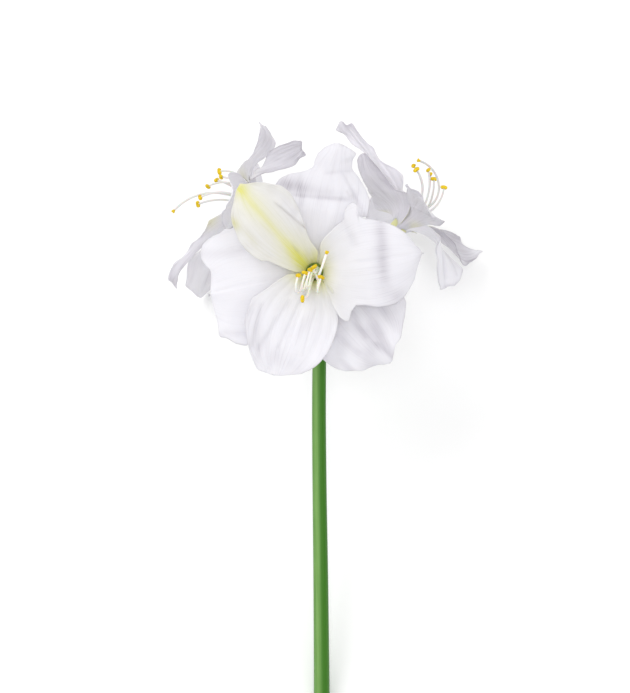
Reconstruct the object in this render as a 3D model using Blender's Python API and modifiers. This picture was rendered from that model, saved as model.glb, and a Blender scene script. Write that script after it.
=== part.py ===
"""Amaryllis: one cut stem with three open blooms, lying on its back.

The flower is designed upright in its umbel's frame: X to the right, Y up along the scape and Z towards the
viewer, with the origin where the flower stalks leave the scape. It is then laid on its back, so that it rests
on the rear tepals of its two side blooms and on the rim of the scape's cut end.
"""

import math

import bmesh
import bpy
import numpy as np
from mathutils import Matrix

NAME = "amaryllis"
MM = 0.001

# Resting pose: slope of the scape, sideways roll, and the umbel's place in the part's frame
LEAN = math.radians(14.856)
ROLL = math.radians(0.374)
UMBEL = (-0.00773, 0.09431, 0.10446)

# Scape, in millimetres: route of its middle and radius at each point, from the cut end to the umbel
SCAPE_ROUTE = ((1.2, -378, 0), (0.9, -330, 0), (0.2, -255, 0), (-0.8, -180, 0), (-1.4, -110, 0),
               (-1.0, -50, 0), (0, 0, 0))
SCAPE_RADII = (7.8, 7.8, 7.7, 7.6, 7.4, 7.2, 6.6)
SCAPE_POINTS = 13
SCAPE_SIDES = 16
CROWN_HEIGHTS = (3.6, 6.0)
CROWN_RADII = (5.4, 2.8)

# Flower stalks and ovaries, in millimetres
STALK_RADIUS = 3.0
STALK_POINTS = 9
STALK_SIDES = 10
NECK_LENGTH = 4.0
OVARY_LENGTH = 16.0
OVARY_RADIUS = 5.4
OVARY_TOP_RADIUS = 4.6
OVARY_POINTS = 6

# Perianth tube, in millimetres
TUBE_LENGTH = 20.0
TUBE_RADIUS = 4.5
TUBE_FLARE = 0.19
TUBE_OUTSIDE = 0.7
TUBE_INSIDE = 1.6
TUBE_LEAN = (8.0, 15.0)
TUBE_SIDES = 18

# Tepals, in millimetres: thickness, how far the inner ones stand before the outer ones, least half-width
TEPAL_THICKNESS = 0.9
TEPAL_LIFT = 0.5
LEAST_WIDTH = 0.8
TEPAL_ROWS = 16
TEPAL_COLUMNS = 6

# How a tepal opens: where each change starts and how far it runs, as fractions of the tepal's length
TEPAL_START = 0.03
TURN_SPAN = 0.35
FREE_START, FREE_SPAN = 0.18, 0.25
CUP_START, CUP_SPAN = 0.15, 0.4
RUFFLE_START, RUFFLE_SPAN = 0.3, 0.3
CURL_START, CURL_SPAN = 0.3, 0.4
TWIST_START, TWIST_SPAN = 0.25, 0.75

# Outline of a tepal: its share of a sixth of the tube, and the powers of its curves
ROOT_SHARE = 0.75
SIXTH_SHARE = 0.94
RISE_POWER = 1.6
FALL_POWER = 2.3
RUFFLE_POWER = 2.2
BLEND_POWER = 8
MARGIN_STEP = 0.03
MARGIN_BLUR = 13
MIDDLE_SPAN = 0.5

# Stamens and pistil, in millimetres
RING_BOTTOM = 15.0
RING_TOP = 18.5
RING_WALL = 1.9
FILAMENT_START = 4.2
FILAMENT_HEIGHT = 16.5
FILAMENT_RADIUS = 0.95
FILAMENT_POINTS = 9
FILAMENT_TIP_SHARE = 0.8
THREAD_SIDES = 6
BEND_STOPS = (0.0, 0.45, 1.0)
ANTHER_LENGTH = 7.0
ANTHER_RADIUS = 2.1
ANTHER_STATIONS = (-0.5, -0.36, 0.0, 0.36, 0.5)
ANTHER_SHARES = (0.35, 0.85, 1.0, 0.85, 0.35)
ANTHER_BOW = 0.5
ANTHER_TURN = 2.1
STYLE_RADIUS = 1.05
STYLE_POINTS = 11
STIGMA_LOBE = 3.2
LOBE_STATIONS = (-0.4, 0.35, 1.0)
LOBE_RADII = (0.6, 0.85, 0.5)
GAP = 0.3

# Largest angle between two faces that still look like one smooth surface
SMOOTH_ANGLE = math.radians(50)

# Points along a curve when its length is measured
FINE = 400

# Tepals: root and turn are a tepal's direction round the bloom, in degrees, at the tube and at the tip. lean is
# its angle from the bloom's axis at fractions of its length, after the tube. left, right and point are places on
# its margins and its tip, as millimetres across the midrib and fractions of its length. Lengths are in millimetres.
PLAIN = {
    "length": 122, "width": 42, "widest": 0.62, "tip": 0.66, "cup": 0.1, "ruffle": 3.0, "waves": 2.0,
    "phase": (0.0, 2.0), "curl": (0.0, 0.0), "twist": 0.0, "inner": False, "unroll": (0.08, 0.5),
    "left": (), "right": (), "point": (0.0, 1.0),
}
FRONT_TEPALS = (
    {"root": 131, "turn": 131, "length": 124, "width": 32, "cup": 0.5, "ruffle": 0.5, "inner": True,
     "widest": 0.7, "tip": 0.9, "twist": -10, "lean": ((0.36, 57), (0.7, 73), (1, 84)),
     "left": ((-14, 0.38), (-22, 0.51), (-26, 0.6), (-29, 0.68), (-31, 0.75), (-29, 0.81), (-24, 0.85),
              (-18, 0.9), (-11, 0.945), (-4, 0.975)),
     "right": ((31, 0.5), (34, 0.57), (35, 0.64), (34, 0.71), (30, 0.78), (28, 0.83), (25, 0.87), (19, 0.91),
               (12, 0.95), (6, 0.985))},
    {"root": 71, "turn": 79, "length": 134, "width": 46, "ruffle": 2.0, "widest": 0.6, "tip": 0.8,
     "curl": (-4, -4), "lean": ((0.3, 68), (0.4, 82), (0.52, 84), (0.58, 114), (0.64, 86), (1, 86)),
     "left": ((-26, 0.5), (-30, 0.54), (-36, 0.56), (-35, 0.67), (-29, 0.74), (-22, 0.8), (-14, 0.85),
              (-13, 0.91), (-16, 0.955), (-10, 0.975), (-3, 0.992)),
     "right": ((44, 0.5), (50, 0.58), (51.5, 0.63), (47, 0.7), (39, 0.74), (31, 0.76), (24, 0.785),
               (20, 0.82), (20.5, 0.86), (19, 0.91), (14, 0.96), (7, 0.99)),
     "point": (1, 0.998)},
    {"root": 11, "turn": 8, "length": 122, "width": 44, "ruffle": 2.0, "cup": 0.0, "inner": True,
     "widest": 0.6, "phase": (0.0, 1.5), "curl": (-3, -6), "lean": ((0.36, 58), (0.7, 77), (1, 108)),
     "left": ((-38, 0.34), (-50, 0.38), (-53, 0.415), (-43, 0.425), (-37, 0.455), (-38, 0.52), (-41, 0.6),
              (-41, 0.67), (-40, 0.75), (-36, 0.81), (-30, 0.86), (-21, 0.92), (-12, 0.94), (-5, 0.96)),
     "right": ((50, 0.48), (54.5, 0.535), (51, 0.565), (43, 0.55), (38, 0.6), (37, 0.65), (32, 0.755),
               (27, 0.82), (20, 0.885), (13, 0.925), (6, 0.945), (3, 0.97))},
    {"root": 311, "turn": 309, "length": 123, "width": 42, "ruffle": 3.0, "waves": 2.5,
     "lean": ((0.3, 68), (0.4, 82), (0.7, 90), (1, 108)),
     "left": ((-42, 0.6), (-44, 0.675), (-43, 0.71), (-42, 0.75), (-39, 0.8), (-35, 0.84), (-28, 0.88),
              (-21, 0.93), (-12, 0.955), (-4, 0.98)),
     "right": ((45, 0.6), (47, 0.69), (45, 0.74), (37, 0.8), (29, 0.86), (22, 0.905), (14, 0.925),
               (9, 0.965), (5, 0.985))},
    {"root": 251, "turn": 252, "length": 123, "width": 43, "cup": 0.2, "ruffle": 1.5, "inner": True,
     "waves": 1.5, "widest": 0.64, "tip": 0.56, "lean": ((0.345, 58), (0.67, 77), (1, 97)),
     "left": ((-38, 0.46), (-44, 0.53), (-44, 0.62), (-44, 0.69), (-38, 0.79), (-34, 0.85), (-29, 0.91),
              (-23, 0.965), (-20, 0.995), (-13, 1.0)),
     "right": ((21, 0.36), (28, 0.42), (34, 0.5), (36, 0.56), (36, 0.65), (35, 0.73), (31, 0.81), (28, 0.85),
               (24, 0.885), (18, 0.93), (9, 0.96), (2, 0.985)),
     "point": (-5, 0.998)},
    {"root": 191, "turn": 192, "length": 120, "width": 53, "ruffle": 2.0, "curl": (-4, -4), "widest": 0.66,
     "tip": 0.52, "lean": ((0.3, 68), (0.4, 82), (0.7, 86), (1, 100)),
     "left": ((-51, 0.68), (-53, 0.72), (-50, 0.76), (-49, 0.82), (-46, 0.88), (-43, 0.915), (-37, 0.94),
              (-32, 0.945), (-26, 0.925), (-22, 0.895), (-18, 0.89), (-14, 0.9), (-7, 0.92)),
     "right": ((52, 0.7), (53, 0.75), (49, 0.82), (43, 0.87), (40, 0.93), (27, 0.925), (17, 0.935),
               (8, 0.94)),
     "point": (2, 0.945)},
)
LEFT_TEPALS = (
    {"root": 120, "turn": 118, "length": 116, "width": 15, "cup": 0.3, "ruffle": 1.0, "inner": True,
     "widest": 0.8, "tip": 0.55, "twist": -14,
     "lean": ((0.2, 16), (0.32, 36), (0.48, 88), (0.6, 110), (0.76, 106), (0.88, 55), (1, 45)),
     "left": ((-24, 0.38), (-19, 0.43), (-11, 0.53), (-10, 0.61), (-14, 0.67), (-20, 0.72), (-22, 0.77),
              (-21, 0.83), (-17, 0.89), (-15, 0.93)),
     "right": ((5, 0.5), (3, 0.54), (4, 0.61), (7, 0.69), (8, 0.775), (12, 0.835), (13, 0.87), (8, 0.9),
               (-4, 0.91), (-10, 0.915)),
     "point": (-14, 0.97)},
    {"root": 60, "turn": 62, "length": 110, "width": 14, "cup": 0.1, "ruffle": 1.0, "twist": 90,
     "lean": ((0.26, 50), (0.45, 124), (0.55, 143), (1, 143)),
     "left": ((-17, 0.45), (-13, 0.53), (-11, 0.57), (-12, 0.65), (-13, 0.74), (-13, 0.82), (-10, 0.88),
              (-9, 0.96), (-3, 0.945)),
     "right": ((12, 0.36), (4, 0.45), (0, 0.51), (8, 0.6), (10, 0.69), (10, 0.75), (9, 0.81), (8, 0.91),
               (6, 0.96)),
     "point": (4, 0.99)},
    {"root": 0, "turn": -8, "length": 96, "width": 29, "cup": 0.25, "inner": True,
     "lean": ((0.2, 20), (0.42, 78), (0.6, 98), (1, 104))},
    {"root": -60, "turn": -62, "length": 136, "width": 14, "cup": 0.25, "ruffle": 1.0, "twist": 60,
     "lean": ((0.2, 18), (0.45, 63), (0.7, 70), (1, 82)),
     "left": ((-8, 0.5), (-4, 0.58), (-2, 0.64), (-2, 0.68), (-1, 0.75), (-1, 0.82), (-3, 0.9),
              (-5, 0.95)),
     "right": ((14, 0.49), (8, 0.55), (5, 0.61), (7, 0.67), (5, 0.72), (5, 0.78), (7, 0.84), (8, 0.89),
               (7, 0.92), (4, 0.98), (-1, 0.975)),
     "point": (-7, 0.99)},
    {"root": -120, "turn": -118, "length": 149, "width": 32, "cup": 0.25, "inner": True, "twist": 28,
     "lean": ((0.2, 20), (0.45, 67), (0.7, 73), (1, 79)),
     "right": ((29, 0.59), (29, 0.65), (29, 0.71), (28, 0.77), (26, 0.86), (17, 0.91), (4, 0.985))},
    {"root": 180, "turn": 178, "length": 116, "width": 38, "cup": 0.25,
     "lean": ((0.2, 20), (0.45, 70), (0.7, 80), (1, 100))},
)
RIGHT_TEPALS = (
    {"root": 40, "turn": 68, "length": 140, "width": 15, "cup": 0.25, "ruffle": 1.0, "twist": 35,
     "widest": 0.55, "lean": ((0.2, 20), (0.385, 72), (0.503, 84), (0.914, 92), (1, 92)),
     "left": ((-8, 0.62), (-8, 0.7), (-9, 0.76), (-10, 0.83), (-11, 0.91), (-16, 0.97), (-10, 0.98)),
     "right": ((7, 0.36), (13, 0.4), (16, 0.44), (12, 0.49), (7, 0.56), (2, 0.62), (2, 0.67), (4, 0.71),
               (2, 0.75), (2, 0.81), (3, 0.88), (4, 0.93), (-2, 0.94), (-2, 0.98)),
     "point": (-5, 0.99)},
    {"root": 100, "turn": 86, "length": 92, "width": 24, "cup": 0.25, "ruffle": 1.0, "inner": True,
     "twist": 40, "unroll": (0.05, 0.25), "lean": ((0.27, 46), (0.4, 98), (0.7, 96), (1, 84)),
     "left": ((-8, 0.19), (-24, 0.27), (-36, 0.31), (-43, 0.35), (-38, 0.42), (-32, 0.48), (-20, 0.64),
              (-16, 0.77), (-14, 0.88), (-11, 0.96), (-8, 0.99)),
     "right": ((14, 0.46), (6, 0.51), (4, 0.58), (4, 0.67), (3, 0.8), (2, 0.9), (0, 0.985)),
     "point": (-4, 1.0)},
    {"root": 160, "turn": 156, "length": 98, "width": 25, "cup": 0.25,
     "lean": ((0.34, 88), (0.5, 114), (1, 118))},
    {"root": 220, "turn": 232, "length": 112, "width": 25, "cup": 0.25, "ruffle": 1.0, "inner": True,
     "twist": 80, "lean": ((0.28, 44), (0.42, 96), (0.52, 130), (1, 135)),
     "left": ((-8, 0.27), (-5, 0.35), (-4, 0.42), (-10, 0.52), (-14, 0.6), (-10, 0.72), (-9, 0.8), (-7, 0.89)),
     "right": ((24, 0.5), (27, 0.6), (25, 0.68), (23, 0.73), (16, 0.85), (10, 0.91), (2, 0.92)),
     "point": (-5, 0.97)},
    {"root": 280, "turn": 275, "length": 130, "width": 25, "cup": 0.25, "ruffle": 1.0, "twist": 60,
     "lean": ((0.2, 20), (0.42, 56), (0.72, 64), (0.82, 35), (0.9, 8), (1, 8)),
     "left": ((-24, 0.55), (-22, 0.65), (-18, 0.73), (-8, 0.82), (-4, 0.9), (-3, 0.95)),
     "right": ((20, 0.45), (26, 0.6), (27, 0.7), (25, 0.8), (22, 0.86), (13, 0.9), (7, 0.915), (2, 0.94)),
     "point": (-2, 0.98)},
    {"root": 340, "turn": 352, "length": 112, "width": 30, "cup": 0.25, "inner": True,
     "lean": ((0.2, 20), (0.45, 70), (0.7, 80), (1, 100)),
     "left": ((-9, 0.35), (-10, 0.55), (-17, 0.68), (-25, 0.8), (-22, 0.92))},
)

# Stamens: root direction in degrees, length in millimetres, bends from the axis towards the bloom's sweep at
# the foot, the middle and the tip, and the sideways splay, in degrees. The last of each bloom is its style.
FRONT_STAMENS = (
    (90, 66, (18, 47, -90), -4), (30, 50, (6, 12, -24), -4), (330, 60, (12, 47, -80), 4),
    (270, 60, (14, 39, 0), -12), (150, 66, (15, 54, -90), -13), (210, 62, (12, 42, -90), -5),
    (0, 70, (8, 24, -98), 13))
LEFT_STAMENS = (
    (90, 57, (2, -53, 25), 6), (30, 50, (-22, -30, 8), 5), (330, 66, (-14, -8, 39), 2),
    (270, 73, (-3, -2, 31), -11), (150, 68, (-8, -24, 40), -8), (210, 62, (3, -30, -1), -13),
    (0, 96, (-7, 1, 57), 0))
RIGHT_STAMENS = (
    (90, 66, (-4, 11, 92), 5), (30, 77, (-11, 14, 95), -2), (330, 80, (-19, 12, 47), -8),
    (270, 76, (-12, 6, 49), -7), (150, 64, (-13, -14, 43), 7), (210, 70, (-9, 20, 62), 5),
    (0, 95, (-11, 3, 130), 6))

# Blooms: foot of the tube in the umbel's frame and points of the flower stalk, in millimetres, axis of the
# bloom, and the direction its stamens sweep to, in degrees
BLOOMS = {
    "front": {
        "foot": (-5.1, 21.4, 42.0), "axis": (-0.02, 0.03, 1.0), "sweep": 270,
        "tepals": FRONT_TEPALS, "stamens": FRONT_STAMENS,
        "stalk": ((0, -9, 0), (0, 6, 2), (-2, 16, 10)),
    },
    "left": {
        "foot": (-35.8, 83.5, -25.0), "axis": (-0.93, 0.22, -0.28), "sweep": 270,
        "tepals": LEFT_TEPALS, "stamens": LEFT_STAMENS,
        "stalk": ((-1.5, -9, -1), (-4, 15, -5), (-8, 44, -11), (-11, 66, -15)),
    },
    "right": {
        "foot": (62.9, 58.3, -25.0), "axis": (0.66, 0.56, -0.50), "sweep": 75,
        "tepals": RIGHT_TEPALS, "stamens": RIGHT_STAMENS,
        "stalk": ((1.5, -9, -1), (7, 12, -4), (20, 28, -9), (36, 39, -13)),
    },
}


def smooth(x):
    """Ease from 0 to 1, level at both ends."""
    x = np.clip(x, 0.0, 1.0)
    return x * x * (3.0 - 2.0 * x)


def unit(vector):
    """The vector at length 1."""
    vector = np.asarray(vector, float)
    return vector / np.linalg.norm(vector)


def axes_of(axis):
    """Rows: right, up and along, for a bloom that faces along axis, with up as near +Y as it can be."""
    along = unit(axis)
    up = unit(np.array((0.0, 1.0, 0.0)) - along[1] * along)
    return np.stack((np.cross(up, along), up, along))


def from_bloom(points, bloom):
    """Points in millimetres from a bloom's own frame to the umbel's frame."""
    return points @ axes_of(bloom["axis"]) + np.array(bloom["foot"], float)


def laid_down(points):
    """Points in millimetres from the umbel's frame to the part's frame, in metres."""
    roll = np.array(((math.cos(ROLL), 0, math.sin(ROLL)), (0, 1, 0), (-math.sin(ROLL), 0, math.cos(ROLL))))
    lean = np.array(((1, 0, 0), (0, math.cos(LEAN), -math.sin(LEAN)), (0, math.sin(LEAN), math.cos(LEAN))))
    return points * MM @ (lean @ roll).T + np.array(UMBEL)


def half_width(spec, v):
    """Half-width of a plain tepal at fractions v of its length.

    It rises as a power of a sine to the widest place and falls as a power of one minus a power to the tip.
    """
    width, widest = spec["width"], spec["widest"]
    narrow = TUBE_RADIUS * math.pi / 3 * ROOT_SHARE
    rise = narrow + (width - narrow) * np.sin(math.pi / 2 * np.clip(v / widest, 0, 1)) ** RISE_POWER
    fall = width * (1 - np.clip((v - widest) / (1 - widest), 0, 1) ** FALL_POWER) ** spec["tip"]
    return np.maximum(np.where(v < widest, rise, fall), LEAST_WIDTH)


def margin_route(spec, side, steps):
    """Route of one margin in the flat blade, from the tube to the tip, at even steps of its length.

    It gives millimetres across the midrib and fractions of the length along it. It follows the tepal's plain
    half-width up to its first stated point, then its stated points, and a running mean rounds its corners.
    """
    stated = np.array(spec["left" if side < 0 else "right"], float).reshape(-1, 2)
    tip = np.array(spec["point"], float) + (side * LEAST_WIDTH, 0.0)
    until = stated[0, 1] - MARGIN_STEP if len(stated) else tip[1]
    v = np.linspace(TEPAL_START, until, FINE // 4)
    plain = np.stack((side * half_width(spec, v), v), 1)
    route = np.vstack((plain, stated, tip))
    run = np.hypot(np.diff(route[:, 0]), np.diff(route[:, 1]) * spec["length"])
    run = np.concatenate(((0.0,), np.cumsum(run)))
    even = np.linspace(0.0, run[-1], FINE + 1)
    across, along = np.interp(even, run, route[:, 0]), np.interp(even, run, route[:, 1])
    kernel = np.hanning(MARGIN_BLUR + 2)[1:-1]
    kernel = kernel / kernel.sum()
    pad = MARGIN_BLUR // 2
    for values in (across, along):
        before, after = 2 * values[0] - values[pad:0:-1], 2 * values[-1] - values[-2:-pad - 2:-1]
        wide = np.concatenate((before, values, after))
        values[:] = np.convolve(wide, kernel, "valid")
    at = steps * FINE
    return np.interp(at, np.arange(FINE + 1), across), np.interp(at, np.arange(FINE + 1), along)


def flat_blade(spec, r, s):
    """Flat coordinates of a tepal's grid: millimetres across its midrib, fractions of its length along it.

    Row r joins the points at the same share of both margins and of the line between them, which starts as the
    midrib. Across goes straight from that line to the margin with s, and along goes with the square of s.
    """
    left, right = margin_route(spec, -1, r), margin_route(spec, 1, r)
    middle = (0.5 * (left[0] + right[0]) * smooth(r / MIDDLE_SPAN))[:, None]
    ahead = (TEPAL_START + (spec["point"][1] - TEPAL_START) * r)[:, None]
    across = np.where(s[None, :] < 0, left[0][:, None], right[0][:, None])
    along = np.where(s[None, :] < 0, left[1][:, None], right[1][:, None])
    s = np.abs(s[None, :])
    return middle + (across - middle) * s, ahead + (along - ahead) * s ** 2


def tepal(spec, rows, columns):
    """Grid of points over the middle of one tepal, in the bloom's frame, in millimetres.

    The midrib leans away from the bloom's axis by an angle that is straight between its stops, and the points
    along it are the running sum of that direction. Across the midrib the tepal is an arc: at the tube the arc
    closes round the axis, and outwards it opens to the tepal's own cup. The margins are raised by a long sine
    wave.
    """
    spec = {**PLAIN, **spec}
    length, width = spec["length"], spec["width"]
    r = np.linspace(0.0, 1.0, rows + 1)
    s = np.linspace(-1.0, 1.0, columns + 1)
    stops = ((0.0, TUBE_LEAN[0]), (TUBE_LENGTH * 0.9 / length, TUBE_LEAN[1])) + spec["lean"]
    t = np.linspace(0.0, 1.0, FINE + 1)
    lean = np.radians(np.interp(t, *zip(*stops)))
    turn = np.radians(spec["root"] + (spec["turn"] - spec["root"]) * smooth(t / TURN_SPAN))
    outward = np.stack((np.cos(turn), np.sin(turn), 0 * turn), 1)
    axis = np.array((0.0, 0.0, 1.0))
    step = np.sin(lean)[:, None] * outward + np.cos(lean)[:, None] * axis
    path = np.cumsum(0.5 * (step[1:] + step[:-1]), 0) * length / FINE
    path = np.vstack((np.zeros(3), path)) + TUBE_RADIUS * outward[0]

    x, v = flat_blade(spec, r, s)
    radius = np.interp(v, t, np.hypot(path[:, 0], path[:, 1]))
    room = radius * math.pi / 3 * SIXTH_SHARE / np.maximum(1 - smooth((v - FREE_START) / FREE_SPAN), 1e-3)
    side = np.maximum(np.abs(x[:, [0] * (len(s) // 2) + [-1] * (len(s) - len(s) // 2)]), LEAST_WIDTH)
    x = x * (1 + (side / room) ** BLEND_POWER) ** (-1 / BLEND_POWER)
    mid = np.stack([np.interp(v, t, path[:, k]) for k in range(3)], -1)
    e = np.stack([np.interp(v, t, outward[:, k]) for k in range(3)], -1)
    lean = np.interp(v, t, lean)

    bend = (1 - smooth((v - spec["unroll"][0]) / spec["unroll"][1])) / radius
    bend = bend + spec["cup"] / width * smooth((v - CUP_START) / CUP_SPAN)
    bend = np.maximum(bend, 1e-4)
    across = np.sin(bend * x) / bend
    inward = (1 - np.cos(bend * x)) / bend
    s = s[None, :]
    phase = np.where(s > 0, spec["phase"][0], spec["phase"][1])
    curl = np.where(s > 0, spec["curl"][0], spec["curl"][1])
    wave = np.sin(2 * math.pi * spec["waves"] * r[:, None] + phase)
    edge = smooth((v - RUFFLE_START) / RUFFLE_SPAN)
    inward = inward + spec["ruffle"] * np.abs(s) ** RUFFLE_POWER * wave * edge
    inward = inward + curl * s ** 2 * smooth((v - CURL_START) / CURL_SPAN)
    inward = inward + (TEPAL_LIFT if spec["inner"] else 0.0)

    twist = (np.radians(spec["twist"]) * smooth((v - TWIST_START) / TWIST_SPAN))[..., None]
    face = -np.cos(lean)[..., None] * e + np.sin(lean)[..., None] * axis
    cross = np.cross(axis, e)
    cross, face = np.cos(twist) * cross + np.sin(twist) * face, np.cos(twist) * face - np.sin(twist) * cross
    return mid + cross * across[..., None] + face * inward[..., None]


def stamen_path(sweep, root, length, bends, splay, start, points):
    """Points along a filament or style, in the bloom's frame, in millimetres.

    Its direction turns from the bloom's axis towards the sweep by an angle that is straight between the bends
    at its foot, its middle and its tip, and its points are the running sum of that direction.
    """
    t = np.linspace(0.0, 1.0, FINE + 1)
    bend = np.radians(np.interp(t, BEND_STOPS, bends))
    tilt = np.radians(splay) * (1 - 0.3 * t)
    g = np.array((math.cos(math.radians(sweep)), math.sin(math.radians(sweep)), 0.0))
    side = np.array((-g[1], g[0], 0.0))
    along = np.array((0.0, 0.0, 1.0))
    ahead = (np.cos(bend) * np.cos(tilt))[:, None] * along + (np.cos(bend) * np.sin(tilt))[:, None] * side
    ahead = ahead + np.sin(bend)[:, None] * g
    run = np.vstack((np.zeros(3), np.cumsum(0.5 * (ahead[1:] + ahead[:-1]), 0) * length / FINE))
    path = run + np.array(start)
    at = np.linspace(0.0, 1.0, points)
    return np.stack([np.interp(at, t, path[:, k]) for k in range(3)], 1)


def filament_start(root):
    """Foot of a filament on the throat ring."""
    angle = math.radians(root)
    return (FILAMENT_START * math.cos(angle), FILAMENT_START * math.sin(angle), FILAMENT_HEIGHT)


def spline(points, count):
    """Smooth route through a few points: a Catmull-Rom curve read at even steps of its parameter."""
    p = np.asarray(points, float)
    p = np.vstack((2 * p[0] - p[1], p, 2 * p[-1] - p[-2]))
    u = np.linspace(0, len(points) - 1, count)
    k = np.minimum(u.astype(int), len(points) - 2)
    f = (u - k)[:, None]
    a, b, c, d = p[k], p[k + 1], p[k + 2], p[k + 3]
    return 0.5 * (2 * b + (c - a) * f + (2 * a - 5 * b + 4 * c - d) * f ** 2 + (3 * b - a - 3 * c + d) * f ** 3)


def stalk_route(bloom):
    """Route and radii of a flower stalk and its ovary, in the umbel's frame, in millimetres."""
    axis = unit(bloom["axis"])
    foot = np.array(bloom["foot"], float)
    neck = foot - axis * (OVARY_LENGTH + NECK_LENGTH)
    stalk = spline(tuple(bloom["stalk"]) + (neck, foot - axis * OVARY_LENGTH), STALK_POINTS)
    u = np.arange(1, OVARY_POINTS + 1) / OVARY_POINTS
    ovary = foot - axis * (OVARY_LENGTH * (1 - u[:, None]) + GAP * u[:, None])
    swell = STALK_RADIUS + (OVARY_RADIUS - STALK_RADIUS) * smooth(u / 0.6)
    swell = swell - (OVARY_RADIUS - OVARY_TOP_RADIUS) * smooth((u - 0.6) / 0.4)
    radii = np.concatenate((np.full(len(stalk), STALK_RADIUS), swell))
    return np.vstack((stalk, ovary)), radii


def material(name, colour, roughness):
    """A plain Principled material; the colour is linear RGB."""
    made = bpy.data.materials.new(name)
    made.use_nodes = True
    shader = made.node_tree.nodes["Principled BSDF"]
    shader.inputs["Base Color"].default_value = (*colour, 1.0)
    shader.inputs["Roughness"].default_value = roughness
    return made


def put(mesh, name, collection):
    """A new object for a mesh, in a collection."""
    piece = bpy.data.objects.new(name, mesh)
    collection.objects.link(piece)
    return piece


def blade(grid, name, thickness, collection):
    """A thin closed blade: a grid moved to the given points, split into triangles and given its thickness."""
    rows, columns = grid.shape[0] - 1, grid.shape[1] - 1
    shape = bmesh.new()
    bmesh.ops.create_grid(shape, x_segments=columns, y_segments=rows, size=1.0)
    shape.verts.ensure_lookup_table()
    places = [(round(corner.co.y, 6), corner.co.x) for corner in shape.verts]
    order = sorted(range(len(places)), key=places.__getitem__)
    for place, k in enumerate(order):
        shape.verts[k].co = grid[place // (columns + 1), place % (columns + 1)]
    bmesh.ops.triangulate(shape, faces=shape.faces)
    mesh = bpy.data.meshes.new(name)
    shape.to_mesh(mesh)
    shape.free()
    piece = put(mesh, name, collection)
    wall = piece.modifiers.new("thickness", "SOLIDIFY")
    wall.thickness = thickness * MM
    wall.offset = 0.0
    return piece


def rod(points, radii, name, sides, collection):
    """A closed rod along points in metres, with its own radius at each: a bevelled curve made a mesh."""
    line = bpy.data.curves.new(name, "CURVE")
    line.dimensions = "3D"
    line.bevel_depth = 1.0
    line.bevel_resolution = sides // 2 - 2
    line.use_fill_caps = True
    path = line.splines.new("POLY")
    path.points.add(len(points) - 1)
    for node, point, radius in zip(path.points, points, radii):
        node.co = (*point, 1.0)
        node.radius = radius * MM
    guide = put(line, name + "_guide", collection)
    bpy.context.view_layer.update()
    mesh = bpy.data.meshes.new_from_object(guide.evaluated_get(bpy.context.evaluated_depsgraph_get()))
    bpy.data.objects.remove(guide)
    weld = bmesh.new()
    weld.from_mesh(mesh)
    bmesh.ops.remove_doubles(weld, verts=weld.verts, dist=0.00001)
    weld.to_mesh(mesh)
    weld.free()
    return put(mesh, name, collection)


def turned(profile, name, bloom, collection):
    """A ring or funnel: a closed profile of (radius, height) in millimetres, turned round a bloom's axis."""
    mesh = bpy.data.meshes.new(name)
    count = len(profile)
    edges = [(k, (k + 1) % count) for k in range(count)]
    mesh.from_pydata([(r * MM, 0.0, z * MM) for r, z in profile], edges, [])
    piece = put(mesh, name, collection)
    turn = piece.modifiers.new("turn", "SCREW")
    turn.steps = TUBE_SIDES
    turn.render_steps = TUBE_SIDES
    turn.use_merge_vertices = True
    turn.merge_threshold = 0.00001
    place_by_bloom(piece, bloom)
    return piece


def place_by_bloom(piece, bloom):
    """Stand a piece that is modelled in a bloom's frame where the bloom is."""
    corner = laid_down(from_bloom(np.zeros((1, 3)), bloom))[0]
    tips = laid_down(from_bloom(np.eye(3) * 1000.0, bloom)) - corner
    matrix = np.eye(4)
    matrix[:3, :3] = tips.T
    matrix[:3, 3] = corner
    piece.matrix_world = Matrix(matrix.tolist())


def keep_outer_shell(shape):
    """Keep the largest island of faces, which fills what the union sealed off and drops loose scraps."""
    unseen = set(shape.faces)
    islands = []
    while unseen:
        front = [unseen.pop()]
        island = []
        while front:
            face = front.pop()
            island.append(face)
            near = {other for edge in face.edges for other in edge.link_faces} & unseen
            unseen -= near
            front.extend(near)
        islands.append(island)
    islands.sort(key=len)
    loose = [face for island in islands[:-1] for face in island]
    bmesh.ops.delete(shape, geom=loose, context="FACES")


def joined(base, others, name, finish):
    """One body from a base piece and a collection of pieces that grow from it, by a Boolean union."""
    union = base.modifiers.new("growth", "BOOLEAN")
    union.operation = "UNION"
    union.operand_type = "COLLECTION"
    union.collection = others
    union.solver = "MANIFOLD"
    bpy.context.view_layer.update()
    mesh = bpy.data.meshes.new_from_object(base.evaluated_get(bpy.context.evaluated_depsgraph_get()))
    mesh.transform(base.matrix_world)
    clean = bmesh.new()
    clean.from_mesh(mesh)
    bmesh.ops.remove_doubles(clean, verts=clean.verts, dist=0.000001)
    keep_outer_shell(clean)
    clean.to_mesh(mesh)
    clean.free()
    for piece in list(others.objects) + [base]:
        bpy.data.objects.remove(piece)
    mesh.materials.clear()
    mesh.materials.append(finish)
    mesh.shade_smooth()
    mesh.set_sharp_from_angle(angle=SMOOTH_ANGLE)
    return put(mesh, name, part)


def new_collection(name):
    """A collection in the scene."""
    made = bpy.data.collections.new(name)
    bpy.context.scene.collection.children.link(made)
    return made


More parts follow.
